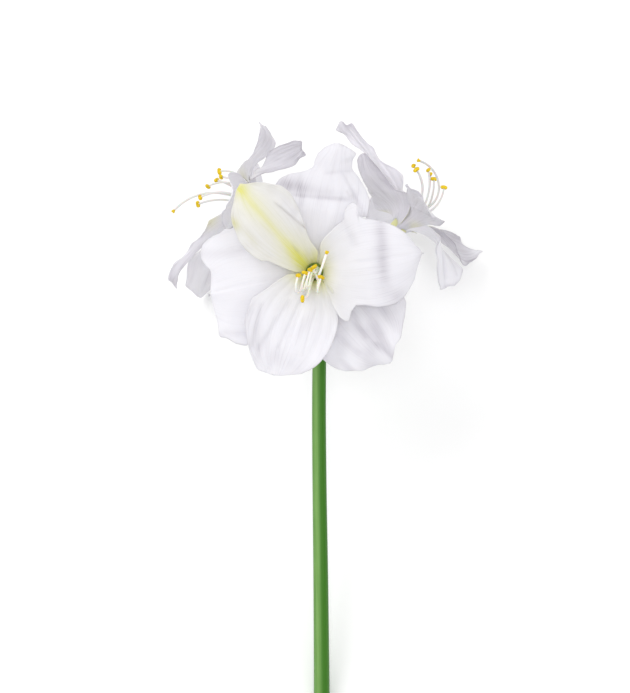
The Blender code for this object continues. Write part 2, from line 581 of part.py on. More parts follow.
def make_stem():
    """The scape, the three flower stalks and their ovaries, grown as one green body."""
    growth = new_collection("stem_growth")
    route = np.vstack((spline(SCAPE_ROUTE, SCAPE_POINTS), [(0.0, height, 0.0) for height in CROWN_HEIGHTS]))
    along = np.linspace(0.0, len(SCAPE_RADII) - 1, SCAPE_POINTS)
    radii = np.concatenate((np.interp(along, range(len(SCAPE_RADII)), SCAPE_RADII), CROWN_RADII))
    base = rod(laid_down(route), radii, "scape", SCAPE_SIDES, growth)
    growth.objects.unlink(base)
    part.objects.link(base)
    for name, bloom in BLOOMS.items():
        points, sizes = stalk_route(bloom)
        rod(laid_down(points), sizes, "stalk_" + name, STALK_SIDES, growth)
    return joined(base, growth, "stem", material("stem_green", (0.16, 0.32, 0.07), 0.45))


def make_perianth(name, bloom, finish):
    """The tube of a bloom and the six tepals that flare from it."""
    growth = new_collection("tepals_" + name)
    top = TUBE_RADIUS + TUBE_FLARE * TUBE_LENGTH
    profile = (
        (top + TUBE_OUTSIDE * 0.4, TUBE_LENGTH),
        (TUBE_RADIUS + TUBE_FLARE * TUBE_LENGTH * 0.5 + TUBE_OUTSIDE, TUBE_LENGTH * 0.5),
        (TUBE_RADIUS + TUBE_OUTSIDE, 0.0),
        (TUBE_RADIUS - TUBE_INSIDE, 0.0),
        (top - TUBE_INSIDE, TUBE_LENGTH),
    )
    tube = turned(profile, "tube_" + name, bloom, part)
    for number, spec in enumerate(bloom["tepals"]):
        grid = tepal(spec, TEPAL_ROWS, TEPAL_COLUMNS)
        blade(laid_down(from_bloom(grid, bloom)), "tepal_%s_%d" % (name, number), TEPAL_THICKNESS, growth)
    return joined(tube, growth, "perianth_" + name, finish)


def make_stamens(name, bloom, finish):
    """The ring at the throat, with six filaments that each carry an anther across their tip."""
    growth = new_collection("stamens_growth_" + name)
    wall = TUBE_RADIUS - TUBE_INSIDE - GAP - 0.1
    outer = [(wall + TUBE_FLARE * z, z) for z in (RING_TOP, RING_BOTTOM)]
    inner = [(r - RING_WALL, z) for r, z in reversed(outer)]
    ring = turned(outer + inner, "ring_" + name, bloom, part)
    for number, (root, length, bends, splay) in enumerate(bloom["stamens"][:-1]):
        path = stamen_path(bloom["sweep"], root, length, bends, splay, filament_start(root), FILAMENT_POINTS)
        thin = np.linspace(1.0, FILAMENT_TIP_SHARE, FILAMENT_POINTS) * FILAMENT_RADIUS
        label = "%s_%d" % (name, number)
        rod(laid_down(from_bloom(path, bloom)), thin, "filament_" + label, THREAD_SIDES, growth)
        ahead = unit(path[-1] - path[-2])
        turn = number * ANTHER_TURN
        cross = unit(np.cross(ahead, unit((math.cos(turn), math.sin(turn), 0.4))))
        reach = np.array(ANTHER_STATIONS)[:, None] * ANTHER_LENGTH
        line = path[-1] + cross * reach - ahead * reach ** 2 / ANTHER_LENGTH * ANTHER_BOW
        sizes = np.array(ANTHER_SHARES) * ANTHER_RADIUS
        rod(laid_down(from_bloom(line, bloom)), sizes, "anther_" + label, THREAD_SIDES, growth)
    return joined(ring, growth, "stamens_" + name, finish)


def make_pistil(name, bloom, finish):
    """The style, from just above the ovary, with the three short lobes of its stigma."""
    growth = new_collection("stigma_" + name)
    root, length, bends, splay = bloom["stamens"][-1]
    path = stamen_path(bloom["sweep"], root, length, bends, splay, (0, 0, FILAMENT_HEIGHT), STYLE_POINTS)
    path = np.vstack(((0, 0, GAP), (0, 0, FILAMENT_HEIGHT / 2), path))
    radii = np.full(len(path), STYLE_RADIUS)
    base = rod(laid_down(from_bloom(path, bloom)), radii, "style_" + name, THREAD_SIDES, part)
    ahead = unit(path[-1] - path[-2])
    side = unit(np.cross(ahead, (0.3, 0.2, 0.9)))
    other = np.cross(ahead, side)
    for number in range(3):
        angle = number * 2 * math.pi / 3
        out = math.cos(angle) * side + math.sin(angle) * other
        lobe = path[-1] + np.outer(LOBE_STATIONS, out * 0.75 + ahead * 0.66) * STIGMA_LOBE
        label = "lobe_%s_%d" % (name, number)
        rod(laid_down(from_bloom(lobe, bloom)), LOBE_RADII, label, THREAD_SIDES, growth)
    return joined(base, growth, "pistil_" + name, finish)


def remove_everything():
    """Empty the scene."""
    for item in list(bpy.data.objects):
        bpy.data.objects.remove(item)


remove_everything()
part = new_collection(NAME)
make_stem()
for bloom_name, bloom_spec in BLOOMS.items():
    make_perianth(bloom_name, bloom_spec, material("tepal_white_" + bloom_name, (0.83, 0.82, 0.87), 0.5))
    make_stamens(bloom_name, bloom_spec, material("stamen_yellow_" + bloom_name, (0.85, 0.62, 0.06), 0.6))
    make_pistil(bloom_name, bloom_spec, material("pistil_white_" + bloom_name, (0.78, 0.80, 0.62), 0.5))
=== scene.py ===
"""Amaryllis: the looks of one cut stem with three open white blooms, lying on its back.

The flower is worked out upright in its umbel's frame, in millimetres: X to the right, Y up along the scape
and Z towards the viewer, with the origin where the flower stalks leave the scape. laid_down turns that into
the part's frame, in metres, where the stem rests on its side blooms and on the rim of its cut end.
"""

import math

import bpy
import numpy as np
from bpy.props import FloatProperty, FloatVectorProperty, IntProperty, PointerProperty
from mathutils import Matrix, Vector


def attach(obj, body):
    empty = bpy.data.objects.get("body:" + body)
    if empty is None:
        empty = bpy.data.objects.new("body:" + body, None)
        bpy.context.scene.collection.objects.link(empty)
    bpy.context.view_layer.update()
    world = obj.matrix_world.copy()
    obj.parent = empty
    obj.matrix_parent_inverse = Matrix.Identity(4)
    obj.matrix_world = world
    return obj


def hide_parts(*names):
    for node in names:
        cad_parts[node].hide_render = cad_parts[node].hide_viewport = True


bl_info = {
    "name": "Amaryllis stem",
    "version": (1, 0, 0),
    "blender": (4, 5, 0),
    "location": "3D View > Sidebar > Amaryllis",
    "description": "Builds a cut amaryllis stem with three open blooms, with its materials and a studio",
    "category": "Add Mesh",
}

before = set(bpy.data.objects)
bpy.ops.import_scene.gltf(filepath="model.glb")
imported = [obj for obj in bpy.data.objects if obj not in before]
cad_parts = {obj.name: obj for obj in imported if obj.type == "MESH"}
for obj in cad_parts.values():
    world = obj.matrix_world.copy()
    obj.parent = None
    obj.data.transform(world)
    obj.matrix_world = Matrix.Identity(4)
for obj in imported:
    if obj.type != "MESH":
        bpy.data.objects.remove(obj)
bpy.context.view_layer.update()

MM = 0.001

# Resting pose: slope of the scape, sideways roll, and the umbel's place in the part's frame
LEAN = math.radians(14.856)
ROLL = math.radians(0.374)
UMBEL = (-0.00773, 0.09431, 0.10446)

# Scape, in millimetres: route of its middle and radius at each point, from the cut end to the umbel, and the
# heights and radii of the crown above it
SCAPE_ROUTE = ((1.2, -378, 0), (0.9, -330, 0), (0.2, -255, 0), (-0.8, -180, 0), (-1.4, -110, 0),
               (-1.0, -50, 0), (0, 0, 0))
SCAPE_RADII = (7.3, 7.1, 6.8, 6.5, 6.4, 6.3, 6.2)
CROWN_HEIGHTS = (2.0, 3.6, 5.0, 6.0)
CROWN_RADII = (6.2, 5.4, 4.2, 2.8)

# Ridges round the scape: how many, share of the ridge height, and phase
SCAPE_RIDGES = ((17, 1.0, 0.0), (23, 0.7, 1.0))

# Painted highlight along one side of the scape, where the light falls: a pale green by the cosine of the
# angle round it, with its middle and its breadth, and the even share of that pale green on the flower stalks
PAINTED_HIGHLIGHT_MIDDLE = -0.72
PAINTED_HIGHLIGHT_BREADTH = 0.34
STALK_WAX = 0.5

# Cut end: rounding of its rim, in millimetres, with the shares of it along the scape and off the radius, and
# the pith's steps along the scape from the cut, in millimetres, with its share of the scape's radius at each
RIM_ROUND = 0.6
RIM_ALONG = (0.0, 0.3, 1.0)
RIM_OFF = (1.0, 0.3, 0.0)
PITH_STEPS = (0.8, -0.1, -0.14, -0.17, -0.2)
PITH_SHARES = (0.86, 0.86, 0.84, 0.45, 0.06)

# Flower stalks and ovaries, in millimetres, where an ovary swells and narrows as fractions of its length, the
# share of its radius that makes it three-sided, and its yellow-green
STALK_RADIUS = 3.0
NECK_LENGTH = 4.0
OVARY_LENGTH = 16.0
OVARY_RADIUS = 5.4
OVARY_TOP_RADIUS = 4.6
OVARY_SWELLS = (0.0, 0.6)
OVARY_NARROWS = (0.6, 0.4)
OVARY_CORNERS = 0.06
OVARY_GLOW = 0.25

# Perianth tube, in millimetres, with its flare in millimetres to a millimetre, the lean of its wall at the
# foot and where the tepals leave it, in degrees, where that is and where its outside narrows and its green
# deepens, as fractions of its length, the share that narrows, and its depth, yellow-green and grey
TUBE_LENGTH = 20.0
TUBE_RADIUS = 4.5
TUBE_FLARE = 0.19
TUBE_OUTSIDE = 0.7
TUBE_INSIDE = 1.6
TUBE_RIDGE = 0.25
TUBE_LEAN = (8.0, 15.0)
TUBE_LEAVE = 0.9
TUBE_NARROWS = (0.5, 0.5)
TUBE_DEEPENS = (0.85, 0.15)
TUBE_THINNED = 0.6
TUBE_DEPTH = 0.9
TUBE_GLOW = 0.75
TUBE_GREY = 0.2

# Tepals, in millimetres: how far the inner ones stand before the outer ones, and least half-width
TEPAL_LIFT = 0.5
LEAST_WIDTH = 0.8

# How a tepal opens: where each change starts and how far it runs, as fractions of the tepal's length
TEPAL_START = 0.03
TURNS = (0.0, 0.35)
FREES = (0.18, 0.25)
CUPS = (0.15, 0.4)
RUFFLES = (0.3, 0.3)
CURLS = (0.3, 0.4)
TWISTS = (0.25, 0.75)
CALMS = (0.95, 0.05)

# Least values, which keep quotients finite
LEAST_FREE = 1e-3
LEAST_BEND = 1e-4

# Outline of a tepal: its share of a sixth of the tube, the powers of its curves, the step before its first
# stated point, the points in its running mean, and where its middle line has left the midrib
ROOT_SHARE = 0.75
SIXTH_SHARE = 0.94
RISE_POWER = 1.6
FALL_POWER = 2.3
RUFFLE_POWER = 2.2
FRILL_POWER = 4
BLEND_POWER = 8
MARGIN_STEP = 0.03
MARGIN_BLUR = 13
MIDDLE_SPAN = 0.5

# Skin of a tepal, in millimetres: distances over which its dents change, across and along the midrib, their
# height in its creases, and the sizes of its groove, keel and painted shade along the margin
FRILL_PITCH = 3.2
CRUMPLE_PITCH = (8.0, 14.0)
CREASE_PITCH = (2.4, 13.0)
CREASE_HEIGHT = 0.3
GROOVE_DEPTH = 0.5
GROOVE_WIDTH = 2.0
KEEL_WIDTH = 2.6
RIM_WIDTH = 1.3
RIM_LEAST = 3.0

# The same skin, as plain numbers: the shift between the frills of its two margins, the waves in its creases,
# the pace of its ribs across and along, the power that ends them at the margin, the least share of the width
# that they spread over, the shares of its half and its length that are round, and what is left at the tip
FRILL_SHIFT = 9.0
CREASE_WAVES = 12
RIB_PACE = (2.2, 2.0)
RIB_POWER = 6
VEIN_LEAST = 0.4
ROUND_SIDE = 0.025
ROUND_TIP = 0.02
TIP_LEAST = 0.02

# The same skin along the tepal, as where each mark starts and how far it runs, in fractions of its length,
# and the share of the ribs that is left at the tip
RIBS_RISE = (0.12, 0.25)
RIBS_FALL = (0.85, 0.15)
RIBS_LEFT = 0.4
GROOVE_RISES = (0.35, 0.2)
CRUMPLE_RISES = (0.4, 0.3)
CREASE_RISES = (0.35, 0.25)
RIM_RISES = (0.3, 0.2)
KEEL_FALLS = (0.0, 0.95)

# Folds: painted shade in a hollow and painted shadow at a step's foot, how far before the step the foot lies
# and how broad it is, as shares of the step's own breadth, and the share of a step's line over which each end
# fades
FOLD_PAINTED_SHADE = 0.7
STEP_PAINTED_SHADOW = 1.1
FOOT_BEFORE, FOOT_BREADTH = 0.5, 1.5
STEP_ENDS = (0.0, 0.15)

# Yellow-green: the throat's glow as (share, where it fades), the same on the back as a straight fall from a
# share at a place, where the throat's deep green fades, and the streak's widths in millimetres, where it
# narrows, where it fades, what is left of it, and the share and relative width of the halo round it
GLOW_FALLS = ((1.1, (0.12, 0.26)), (0.1, (0.25, 0.4)))
BACK_GLOW, BACK_FALL, BACK_START = 0.8, 12.0, 0.04
DEEP_FALLS = (0.06, 0.14)
STREAK_WIDTH = 2.4
STREAK_WIDER = 5.0
STREAK_NARROWS = (0.2, 0.4)
STREAK_FALLS = (0.28, 0.3)
STREAK_LEFT = 0.25
HALO_SHARE = 0.35
HALO_WIDTH = 3.2

# Grain: millimetres across a blade that are one unit of it, the shift that sets each tepal's grain apart and
# how many shifts there are, millimetres along a tube that are one unit, and the stalks' shift in millimetres
GRAIN_UNIT = 45.0
GRAIN_SHIFT = 4.0
GRAIN_SETS = 50
TUBE_GRAIN = 120.0
STALK_GRAIN = 500.0

# Stamens and pistil, in millimetres, and the clear gap between pieces
GAP = 0.3
RING_BOTTOM = 15.0
RING_TOP = 18.5
RING_WALL = 1.9
RING_GAP = 0.4
FILAMENT_START = 4.2
FILAMENT_HEIGHT = 16.5
FILAMENT_RADIUS = 1.1
ANTHER_LENGTH = 6.4
ANTHER_RADIUS = 1.9
STYLE_RADIUS = 1.05
STIGMA_LOBE = 2.7
STIGMA_RADIUS = 1.0

# Filaments and styles: where their bends stand and where their sweep swings, as fractions of their length,
# the share of a filament's radius that is left and of its splay that is lost at its tip, the direction that
# a path's first ring is squared to, and the painted margin shade of a bloom up to which its threads stay
# white, above which they take painted grey shade
BEND_STOPS = (0.0, 0.45, 1.0)
SWINGS = (0.5, 0.3)
FILAMENT_TIP_SHARE = 0.8
SPLAY_LOSS = 0.3
RING_AIM = (0.31, 0.17, 0.93)
THREAD_SHADE_FROM = 0.8

# Anthers: turn from one to the next in radians, tilt and bow, the furrow's share of the radius and its power,
# the least share of the radius at an end, and the pace of the pollen round and along
ANTHER_TURN = 2.1
ANTHER_TILT = 0.4
ANTHER_BOW = 0.5
ANTHER_FURROW = 0.2
FURROW_POWER = 6
ANTHER_POLE = 0.002
POLLEN_PACE = (6.0, 24.0)

# Stigma: the direction that its lobes are squared to, how far they open and go ahead, as shares of their
# length, the power of their opening, and the least share of their radius at an end
STIGMA_AIM = (0.3, 0.2, 0.9)
STIGMA_OPENS = 0.6
STIGMA_AHEAD = (1.45, -0.25)
STIGMA_POWER = 1.5
STIGMA_POLE = 0.02

# Points along a curve when its length is measured
FINE = 400

# Tepals: root and turn are a tepal's direction round the bloom, in degrees, at the tube and at the tip. lean
# is its angle from the bloom's axis at fractions of its length, after the tube. Lengths are in millimetres,
# and a place on the flat blade is millimetres across the midrib and the fraction of the length along it.
# width, widest and tip shape the plain outline, and left, right and point are places on a margin of its own.
# cup, curl, ruffle, waves and phase bend the blade, unroll is where it leaves the tube's curve, and twist is
# in degrees. ribs, crumple and crease are shares of those reliefs, and grey is painted lilac-grey shade, in
# the hollows and over tepals that face away from the light, which also deepens the streaks; below 0 it is
# painted light. glow is the throat's yellow-green on the midrib, streak is its place across and its strength,
# and stain is a share of it all over. A fold is two places, a depth, a breadth and a step, all three in
# millimetres, and a spot is a place, its reach in millimetres, its run along the blade, and the green and the
# painted grey shade that it adds, which is painted light where it is below 0.
# PLAIN is a tepal that has nothing of its own, and fills in what a tepal doesn't state.
PLAIN = {
    "length": 122, "width": 42, "widest": 0.62, "tip": 0.66, "cup": 0.1, "ruffle": 3.0, "waves": 2.0,
    "phase": (0.0, 2.0), "curl": (0.0, 0.0), "twist": 0.0, "inner": False, "unroll": (0.08, 0.5),
    "left": (), "right": (), "point": (0.0, 1.0),
    "glow": 0.7, "streak": (0.0, 0.0), "stain": 0.0, "ribs": 0.1, "grey": 0.4, "crumple": 1.0,
    "crease": 0.15, "folds": (), "spots": (),
}
FRONT_TEPALS = (
    {"root": 131, "turn": 131, "length": 124, "width": 32, "cup": 0.5, "ruffle": 0.5, "inner": True,
     "widest": 0.7, "tip": 0.9, "twist": -10, "lean": ((0.36, 57), (0.7, 73), (1, 84)),
     "left": ((-15, 0.3), (-15, 0.35), (-17, 0.42), (-22, 0.51), (-26, 0.6), (-29, 0.68), (-31, 0.75),
              (-29, 0.81), (-24, 0.85), (-18, 0.9), (-11, 0.945), (-4, 0.975)),
     "right": ((31, 0.5), (34, 0.57), (35, 0.64), (34, 0.71), (30, 0.78), (28, 0.83), (25, 0.87), (19, 0.91),
               (12, 0.95), (6, 0.985)),
     "glow": 0.6, "streak": (3.0, 0.62), "stain": 0.1, "ribs": 0.2, "grey": 0.4,
     "folds": (((-22, 0.36), (-12.5, 0.78), 1.6, 0.7, 9.0),),
     "spots": ((1, 0.97, 7, 0.05, 0.35, 0.0), (26.5, 0.82, 4, 0.05, 0.3, 2.2), (4, 0.85, 14, 0.12, 0.1, 0.0),
               (-20, 0.6, 7, 0.2, -0.07, 0.2), (24, 0.66, 3, 0.08, 0.1, 0.8))},
    {"root": 71, "turn": 79, "length": 134, "width": 46, "ruffle": 2.0, "widest": 0.6, "tip": 0.8,
     "curl": (-4, -4), "lean": ((0.3, 68), (0.4, 82), (0.52, 84), (0.58, 114), (0.64, 86), (1, 86)),
     "left": ((-26, 0.5), (-30, 0.54), (-36, 0.56), (-35, 0.67), (-29, 0.74), (-22, 0.8), (-14, 0.85),
              (-13, 0.91), (-16, 0.955), (-10, 0.975), (-3, 0.992)),
     "right": ((44, 0.5), (50, 0.58), (51.5, 0.63), (47, 0.7), (39, 0.74), (31, 0.76), (24, 0.785),
               (20, 0.82), (20.5, 0.86), (19, 0.91), (14, 0.96), (7, 0.99)),
     "point": (1, 0.998), "glow": 0.3, "ribs": 0.1, "grey": 0.45,
     "folds": (((-22, 0.655), (40, 0.6), 0.8, 1.2, 14.0), ((-18, 0.66), (-13, 0.71), 1.0, 0.9, 8.0),
               ((-33, 0.56), (-16, 0.72), -0.6, 1.6, 0.0), ((-30, 0.61), (-8, 0.8), -0.5, 1.6, 0.0),
               ((-18, 0.845), (8, 0.785), -0.5, 1.6, 0.0), ((24, 0.55), (30, 0.74), -0.6, 3.0, 0.0)),
     "spots": ((38, 0.665, 14, 0.05, 0.0, 2.6), (-36, 0.58, 6, 0.05, 0.0, 0.6),
               (14, 0.66, 26, 0.035, 0.0, 1.0), (8, 0.86, 20, 0.08, 0.0, 0.5))},
    {"root": 11, "turn": 8, "length": 122, "width": 44, "ruffle": 2.0, "cup": 0.0, "inner": True,
     "widest": 0.6, "phase": (0.0, 1.5), "curl": (-3, -6), "lean": ((0.36, 58), (0.7, 77), (1, 108)),
     "left": ((-38, 0.34), (-50, 0.38), (-53, 0.415), (-43, 0.425), (-37, 0.455), (-38, 0.52), (-41, 0.6),
              (-41, 0.67), (-40, 0.75), (-36, 0.81), (-30, 0.86), (-21, 0.92), (-13, 0.945), (-8, 0.965),
              (-4, 0.985)),
     "right": ((50, 0.48), (54.5, 0.535), (51, 0.565), (43, 0.55), (38, 0.6), (37, 0.65), (32, 0.755),
               (27, 0.82), (20, 0.885), (13, 0.925), (8, 0.95), (6, 0.97), (3, 0.987)),
     "glow": 0.45, "ribs": 0.08, "grey": 0.4,
     "folds": (((38, 0.72), (-27, 0.67), -1.2, 8.0, 0.0), ((44, 0.44), (18, 0.5), -0.8, 4.0, 0.0)),
     "spots": ((-36, 0.76, 10, 0.07, 0.0, 1.3), (0, 0.97, 8, 0.03, 0.0, 0.8), (20, 0.715, 15, 0.04, 0.0, 1.6),
               (-6, 0.695, 15, 0.04, 0.0, 1.5))},
    {"root": 311, "turn": 309, "length": 123, "width": 42, "ruffle": 3.0, "waves": 2.5,
     "lean": ((0.3, 68), (0.4, 82), (0.7, 90), (1, 108)),
     "left": ((-42, 0.6), (-44, 0.675), (-43, 0.71), (-42, 0.75), (-39, 0.8), (-35, 0.84), (-28, 0.88),
              (-21, 0.93), (-12, 0.955), (-4, 0.98)),
     "right": ((45, 0.6), (47, 0.69), (45, 0.74), (37, 0.8), (29, 0.86), (22, 0.905), (14, 0.925),
               (9, 0.965), (5, 0.985)),
     "ribs": 0.3, "grey": 0.4, "crumple": 2.6, "crease": 1.0,
     "folds": (((4, 0.45), (-2, 0.74), -0.8, 3.0, 0.0), ((2, 0.84), (5, 0.97), -0.9, 1.8, 0.0),
               ((14, 0.55), (12, 0.8), -0.7, 3.5, 0.0), ((-22, 0.6), (-16, 0.8), -0.6, 3.0, 0.0)),
     "spots": ((11, 0.74, 12, 0.08, 0.0, 0.9), (-8, 0.72, 8, 0.07, 0.0, 0.5), (-6, 0.84, 10, 0.06, 0.0, 1.2),
               (-30, 0.72, 8, 0.2, 0.0, -0.8))},
    {"root": 251, "turn": 252, "length": 123, "width": 43, "cup": 0.2, "ruffle": 1.5, "inner": True,
     "waves": 1.5, "widest": 0.64, "tip": 0.56, "lean": ((0.345, 58), (0.67, 77), (1, 97)),
     "left": ((-38, 0.46), (-44, 0.53), (-44, 0.62), (-44, 0.69), (-38, 0.79), (-34, 0.85), (-29, 0.91),
              (-23, 0.965), (-20, 0.995), (-13, 1.0)),
     "right": ((25, 0.34), (31, 0.41), (35, 0.48), (36.5, 0.56), (36, 0.65), (35, 0.73), (31, 0.81),
               (28, 0.85), (24, 0.885), (18, 0.93), (9, 0.96), (2, 0.985)),
     "point": (-5, 0.998), "ribs": 0.35, "grey": 0.3, "crease": 0.5,
     "folds": (((-34, 0.55), (-30, 0.85), -0.8, 2.5, 0.0), ((-12, 0.45), (-24, 0.85), -0.5, 2.0, 0.0),
               ((-2, 0.35), (-8, 0.8), -0.5, 1.5, 0.0), ((12, 0.45), (14, 0.8), -0.4, 1.5, 0.0)),
     "spots": ((-33, 0.75, 8, 0.15, 0.0, 0.6), (2, 0.88, 22, 0.07, 0.0, 0.8))},
    {"root": 191, "turn": 192, "length": 120, "width": 53, "ruffle": 2.0, "curl": (-4, -4), "widest": 0.66,
     "tip": 0.52, "lean": ((0.3, 68), (0.4, 82), (0.7, 86), (1, 100)),
     "left": ((-51, 0.68), (-53, 0.72), (-50, 0.76), (-49, 0.82), (-46, 0.88), (-43, 0.915), (-37, 0.94),
              (-32, 0.945), (-26, 0.925), (-22, 0.895), (-18, 0.89), (-14, 0.9), (-7, 0.92)),
     "right": ((52, 0.7), (53, 0.75), (49, 0.82), (43, 0.87), (40, 0.93), (27, 0.925), (17, 0.935),
               (8, 0.94)),
     "point": (2, 0.945), "ribs": 0.05, "grey": 0.15,
     "folds": (((46, 0.6), (38, 0.9), -0.8, 3.0, 0.0), ((-30, 0.62), (-34, 0.92), -0.7, 4.0, 0.0))},
)
LEFT_TEPALS = (
    {"root": 120, "turn": 118, "length": 116, "width": 15, "cup": 0.3, "ruffle": 1.0, "inner": True,
     "widest": 0.8, "tip": 0.55, "twist": -14,
     "lean": ((0.2, 16), (0.32, 36), (0.48, 88), (0.6, 110), (0.76, 106), (0.88, 55), (1, 45)),
     "left": ((-24, 0.38), (-19, 0.43), (-11, 0.53), (-10, 0.61), (-14, 0.67), (-20, 0.72), (-22, 0.77),
              (-21, 0.83), (-17, 0.89), (-15, 0.93)),
     "right": ((5, 0.5), (3, 0.54), (4, 0.61), (7, 0.69), (8, 0.775), (12, 0.835), (13, 0.87), (8, 0.9),
               (-4, 0.91), (-10, 0.915)),
     "point": (-14, 0.97), "ribs": 0.3, "grey": 0.7, "crumple": 1.6, "crease": 0.4,
     "folds": (((4, 0.86), (2, 0.72), 1.2, 0.6, 6.0), ((-16, 0.92), (-8, 0.7), -0.7, 1.2, 0.0)),
     "spots": ((-14, 0.37, 9, 0.07, 0.2, 0.0), (-8, 0.8, 16, 0.1, 0.0, 1.5))},
    {"root": 60, "turn": 62, "length": 110, "width": 14, "cup": 0.1, "ruffle": 1.0, "twist": 90,
     "lean": ((0.26, 50), (0.45, 124), (0.55, 143), (1, 143)),
     "left": ((-17, 0.45), (-13, 0.53), (-11, 0.57), (-12, 0.65), (-13, 0.74), (-13, 0.82), (-10, 0.88),
              (-9, 0.96), (-3, 0.945)),
     "right": ((12, 0.36), (4, 0.45), (0, 0.51), (8, 0.6), (10, 0.69), (10, 0.75), (9, 0.81), (8, 0.91),
               (6, 0.96)),
     "point": (4, 0.99), "ribs": 0.3, "grey": 2.3, "crumple": 1.6, "crease": 0.6},
    {"root": 0, "turn": -8, "length": 96, "width": 29, "cup": 0.25, "inner": True,
     "lean": ((0.2, 20), (0.42, 78), (0.6, 98), (1, 104))},
    {"root": -60, "turn": -62, "length": 136, "width": 14, "cup": 0.25, "ruffle": 1.0, "twist": 60,
     "lean": ((0.2, 18), (0.45, 63), (0.7, 70), (1, 82)),
     "left": ((-8, 0.5), (-4, 0.58), (-2, 0.64), (-2, 0.68), (-1, 0.75), (-1, 0.82), (-3, 0.9),
              (-5, 0.95)),
     "right": ((14, 0.49), (8, 0.55), (5, 0.61), (7, 0.67), (5, 0.72), (5, 0.78), (7, 0.84), (8, 0.89),
               (7, 0.92), (4, 0.98), (-1, 0.975)),
     "point": (-7, 0.99), "ribs": 0.3, "grey": 0.5, "crumple": 1.6, "crease": 0.4,
     "spots": ((14, 0.48, 9, 0.06, 0.32, 0.6), (-3, 0.95, 8, 0.04, 0.0, 1.2))},
    {"root": -120, "turn": -118, "length": 149, "width": 32, "cup": 0.25, "inner": True, "twist": 28,
     "lean": ((0.2, 20), (0.45, 67), (0.7, 73), (1, 79)),
     "right": ((29, 0.59), (29, 0.65), (29, 0.71), (28, 0.77), (26, 0.86), (17, 0.91), (4, 0.985)),
     "ribs": 0.3, "grey": -0.3, "crumple": 1.6, "crease": 0.6,
     "spots": ((12, 0.66, 14, 0.07, 0.0, 1.2), (-3, 0.8, 6, 0.1, 0.0, 1.2), (22, 0.8, 3, 0.08, 0.0, 1.0))},
    {"root": 180, "turn": 178, "length": 116, "width": 38, "cup": 0.25,
     "lean": ((0.2, 20), (0.45, 70), (0.7, 80), (1, 100))},
)
RIGHT_TEPALS = (
    {"root": 40, "turn": 68, "length": 140, "width": 15, "cup": 0.25, "ruffle": 1.0, "twist": 35,
     "widest": 0.55, "lean": ((0.2, 20), (0.385, 72), (0.503, 84), (0.914, 92), (1, 92)),
     "left": ((-8, 0.62), (-8, 0.7), (-9, 0.76), (-10, 0.83), (-11, 0.91), (-16, 0.97), (-10, 0.98)),
     "right": ((7, 0.36), (13, 0.4), (16, 0.44), (12, 0.49), (7, 0.56), (2, 0.62), (2, 0.67), (4, 0.71),
               (2, 0.75), (2, 0.81), (3, 0.88), (4, 0.93), (-2, 0.94), (-2, 0.98)),
     "point": (-5, 0.99), "ribs": 0.3, "grey": 0.1, "crumple": 1.6,
     "folds": (((-3, 0.97), (-4, 0.7), -0.6, 1.2, 0.0),), "spots": ((-3, 0.93, 14, 0.06, 0.0, 1.4),)},
    {"root": 100, "turn": 86, "length": 92, "width": 24, "cup": 0.25, "ruffle": 1.0, "inner": True,
     "twist": 40, "unroll": (0.05, 0.25), "lean": ((0.27, 46), (0.4, 98), (0.7, 96), (1, 84)),
     "left": ((-8, 0.19), (-24, 0.27), (-36, 0.31), (-43, 0.35), (-38, 0.42), (-32, 0.48), (-20, 0.64),
              (-16, 0.77), (-14, 0.88), (-11, 0.96), (-8, 0.99)),
     "right": ((14, 0.46), (6, 0.51), (4, 0.58), (4, 0.67), (3, 0.8), (2, 0.9), (0, 0.985)),
     "point": (-4, 1.0), "ribs": 0.2, "grey": 2.1,
     "spots": ((-30, 0.28, 12, 0.035, 0.35, 0.8), (-2, 0.14, 10, 0.04, 0.2, 0.0))},
    {"root": 160, "turn": 156, "length": 98, "width": 25, "cup": 0.25,
     "lean": ((0.34, 88), (0.5, 114), (1, 118)), "ribs": 0.2, "grey": 1.9,
     "folds": (((-8, 0.36), (14, 0.62), -0.6, 1.2, 0.0),),
     "spots": ((10, 0.24, 7, 0.05, 0.25, 0.0), (12, 0.94, 12, 0.1, 0.0, -1.0))},
    {"root": 220, "turn": 232, "length": 112, "width": 25, "cup": 0.25, "ruffle": 1.0, "inner": True,
     "twist": 80, "lean": ((0.28, 44), (0.42, 96), (0.52, 130), (1, 135)),
     "left": ((-8, 0.27), (-5, 0.35), (-4, 0.42), (-10, 0.52), (-14, 0.6), (-10, 0.72), (-9, 0.8),
              (-7, 0.89)),
     "right": ((24, 0.5), (27, 0.6), (25, 0.68), (23, 0.73), (16, 0.85), (10, 0.91), (2, 0.92)),
     "point": (-5, 0.97), "ribs": 0.35, "grey": 0.2, "crumple": 2.0, "crease": 0.5,
     "folds": (((0, 0.45), (2, 0.85), -0.9, 1.8, 0.0), ((14, 0.5), (14, 0.8), -0.6, 1.5, 0.0))},
    {"root": 280, "turn": 275, "length": 130, "width": 25, "cup": 0.25, "ruffle": 1.0, "twist": 60,
     "lean": ((0.2, 20), (0.42, 56), (0.72, 64), (0.82, 35), (0.9, 8), (1, 8)),
     "left": ((-24, 0.55), (-22, 0.65), (-18, 0.73), (-8, 0.82), (-4, 0.9), (-3, 0.95)),
     "right": ((20, 0.45), (26, 0.6), (27, 0.7), (25, 0.8), (22, 0.86), (13, 0.9), (7, 0.915), (2, 0.94)),
     "point": (-2, 0.98), "ribs": 0.35, "grey": 2.4, "crumple": 2.0, "crease": 0.5,
     "folds": (((-10, 0.55), (-6, 0.85), -0.9, 1.8, 0.0), ((8, 0.6), (6, 0.9), -0.7, 1.8, 0.0)),
     "spots": ((2, 0.96, 14, 0.08, 0.0, -2.6),)},
    {"root": 340, "turn": 352, "length": 112, "width": 30, "cup": 0.25, "inner": True,
     "lean": ((0.2, 20), (0.45, 70), (0.7, 80), (1, 100)),
     "left": ((-9, 0.35), (-10, 0.55), (-17, 0.68), (-25, 0.8), (-22, 0.92))},
)

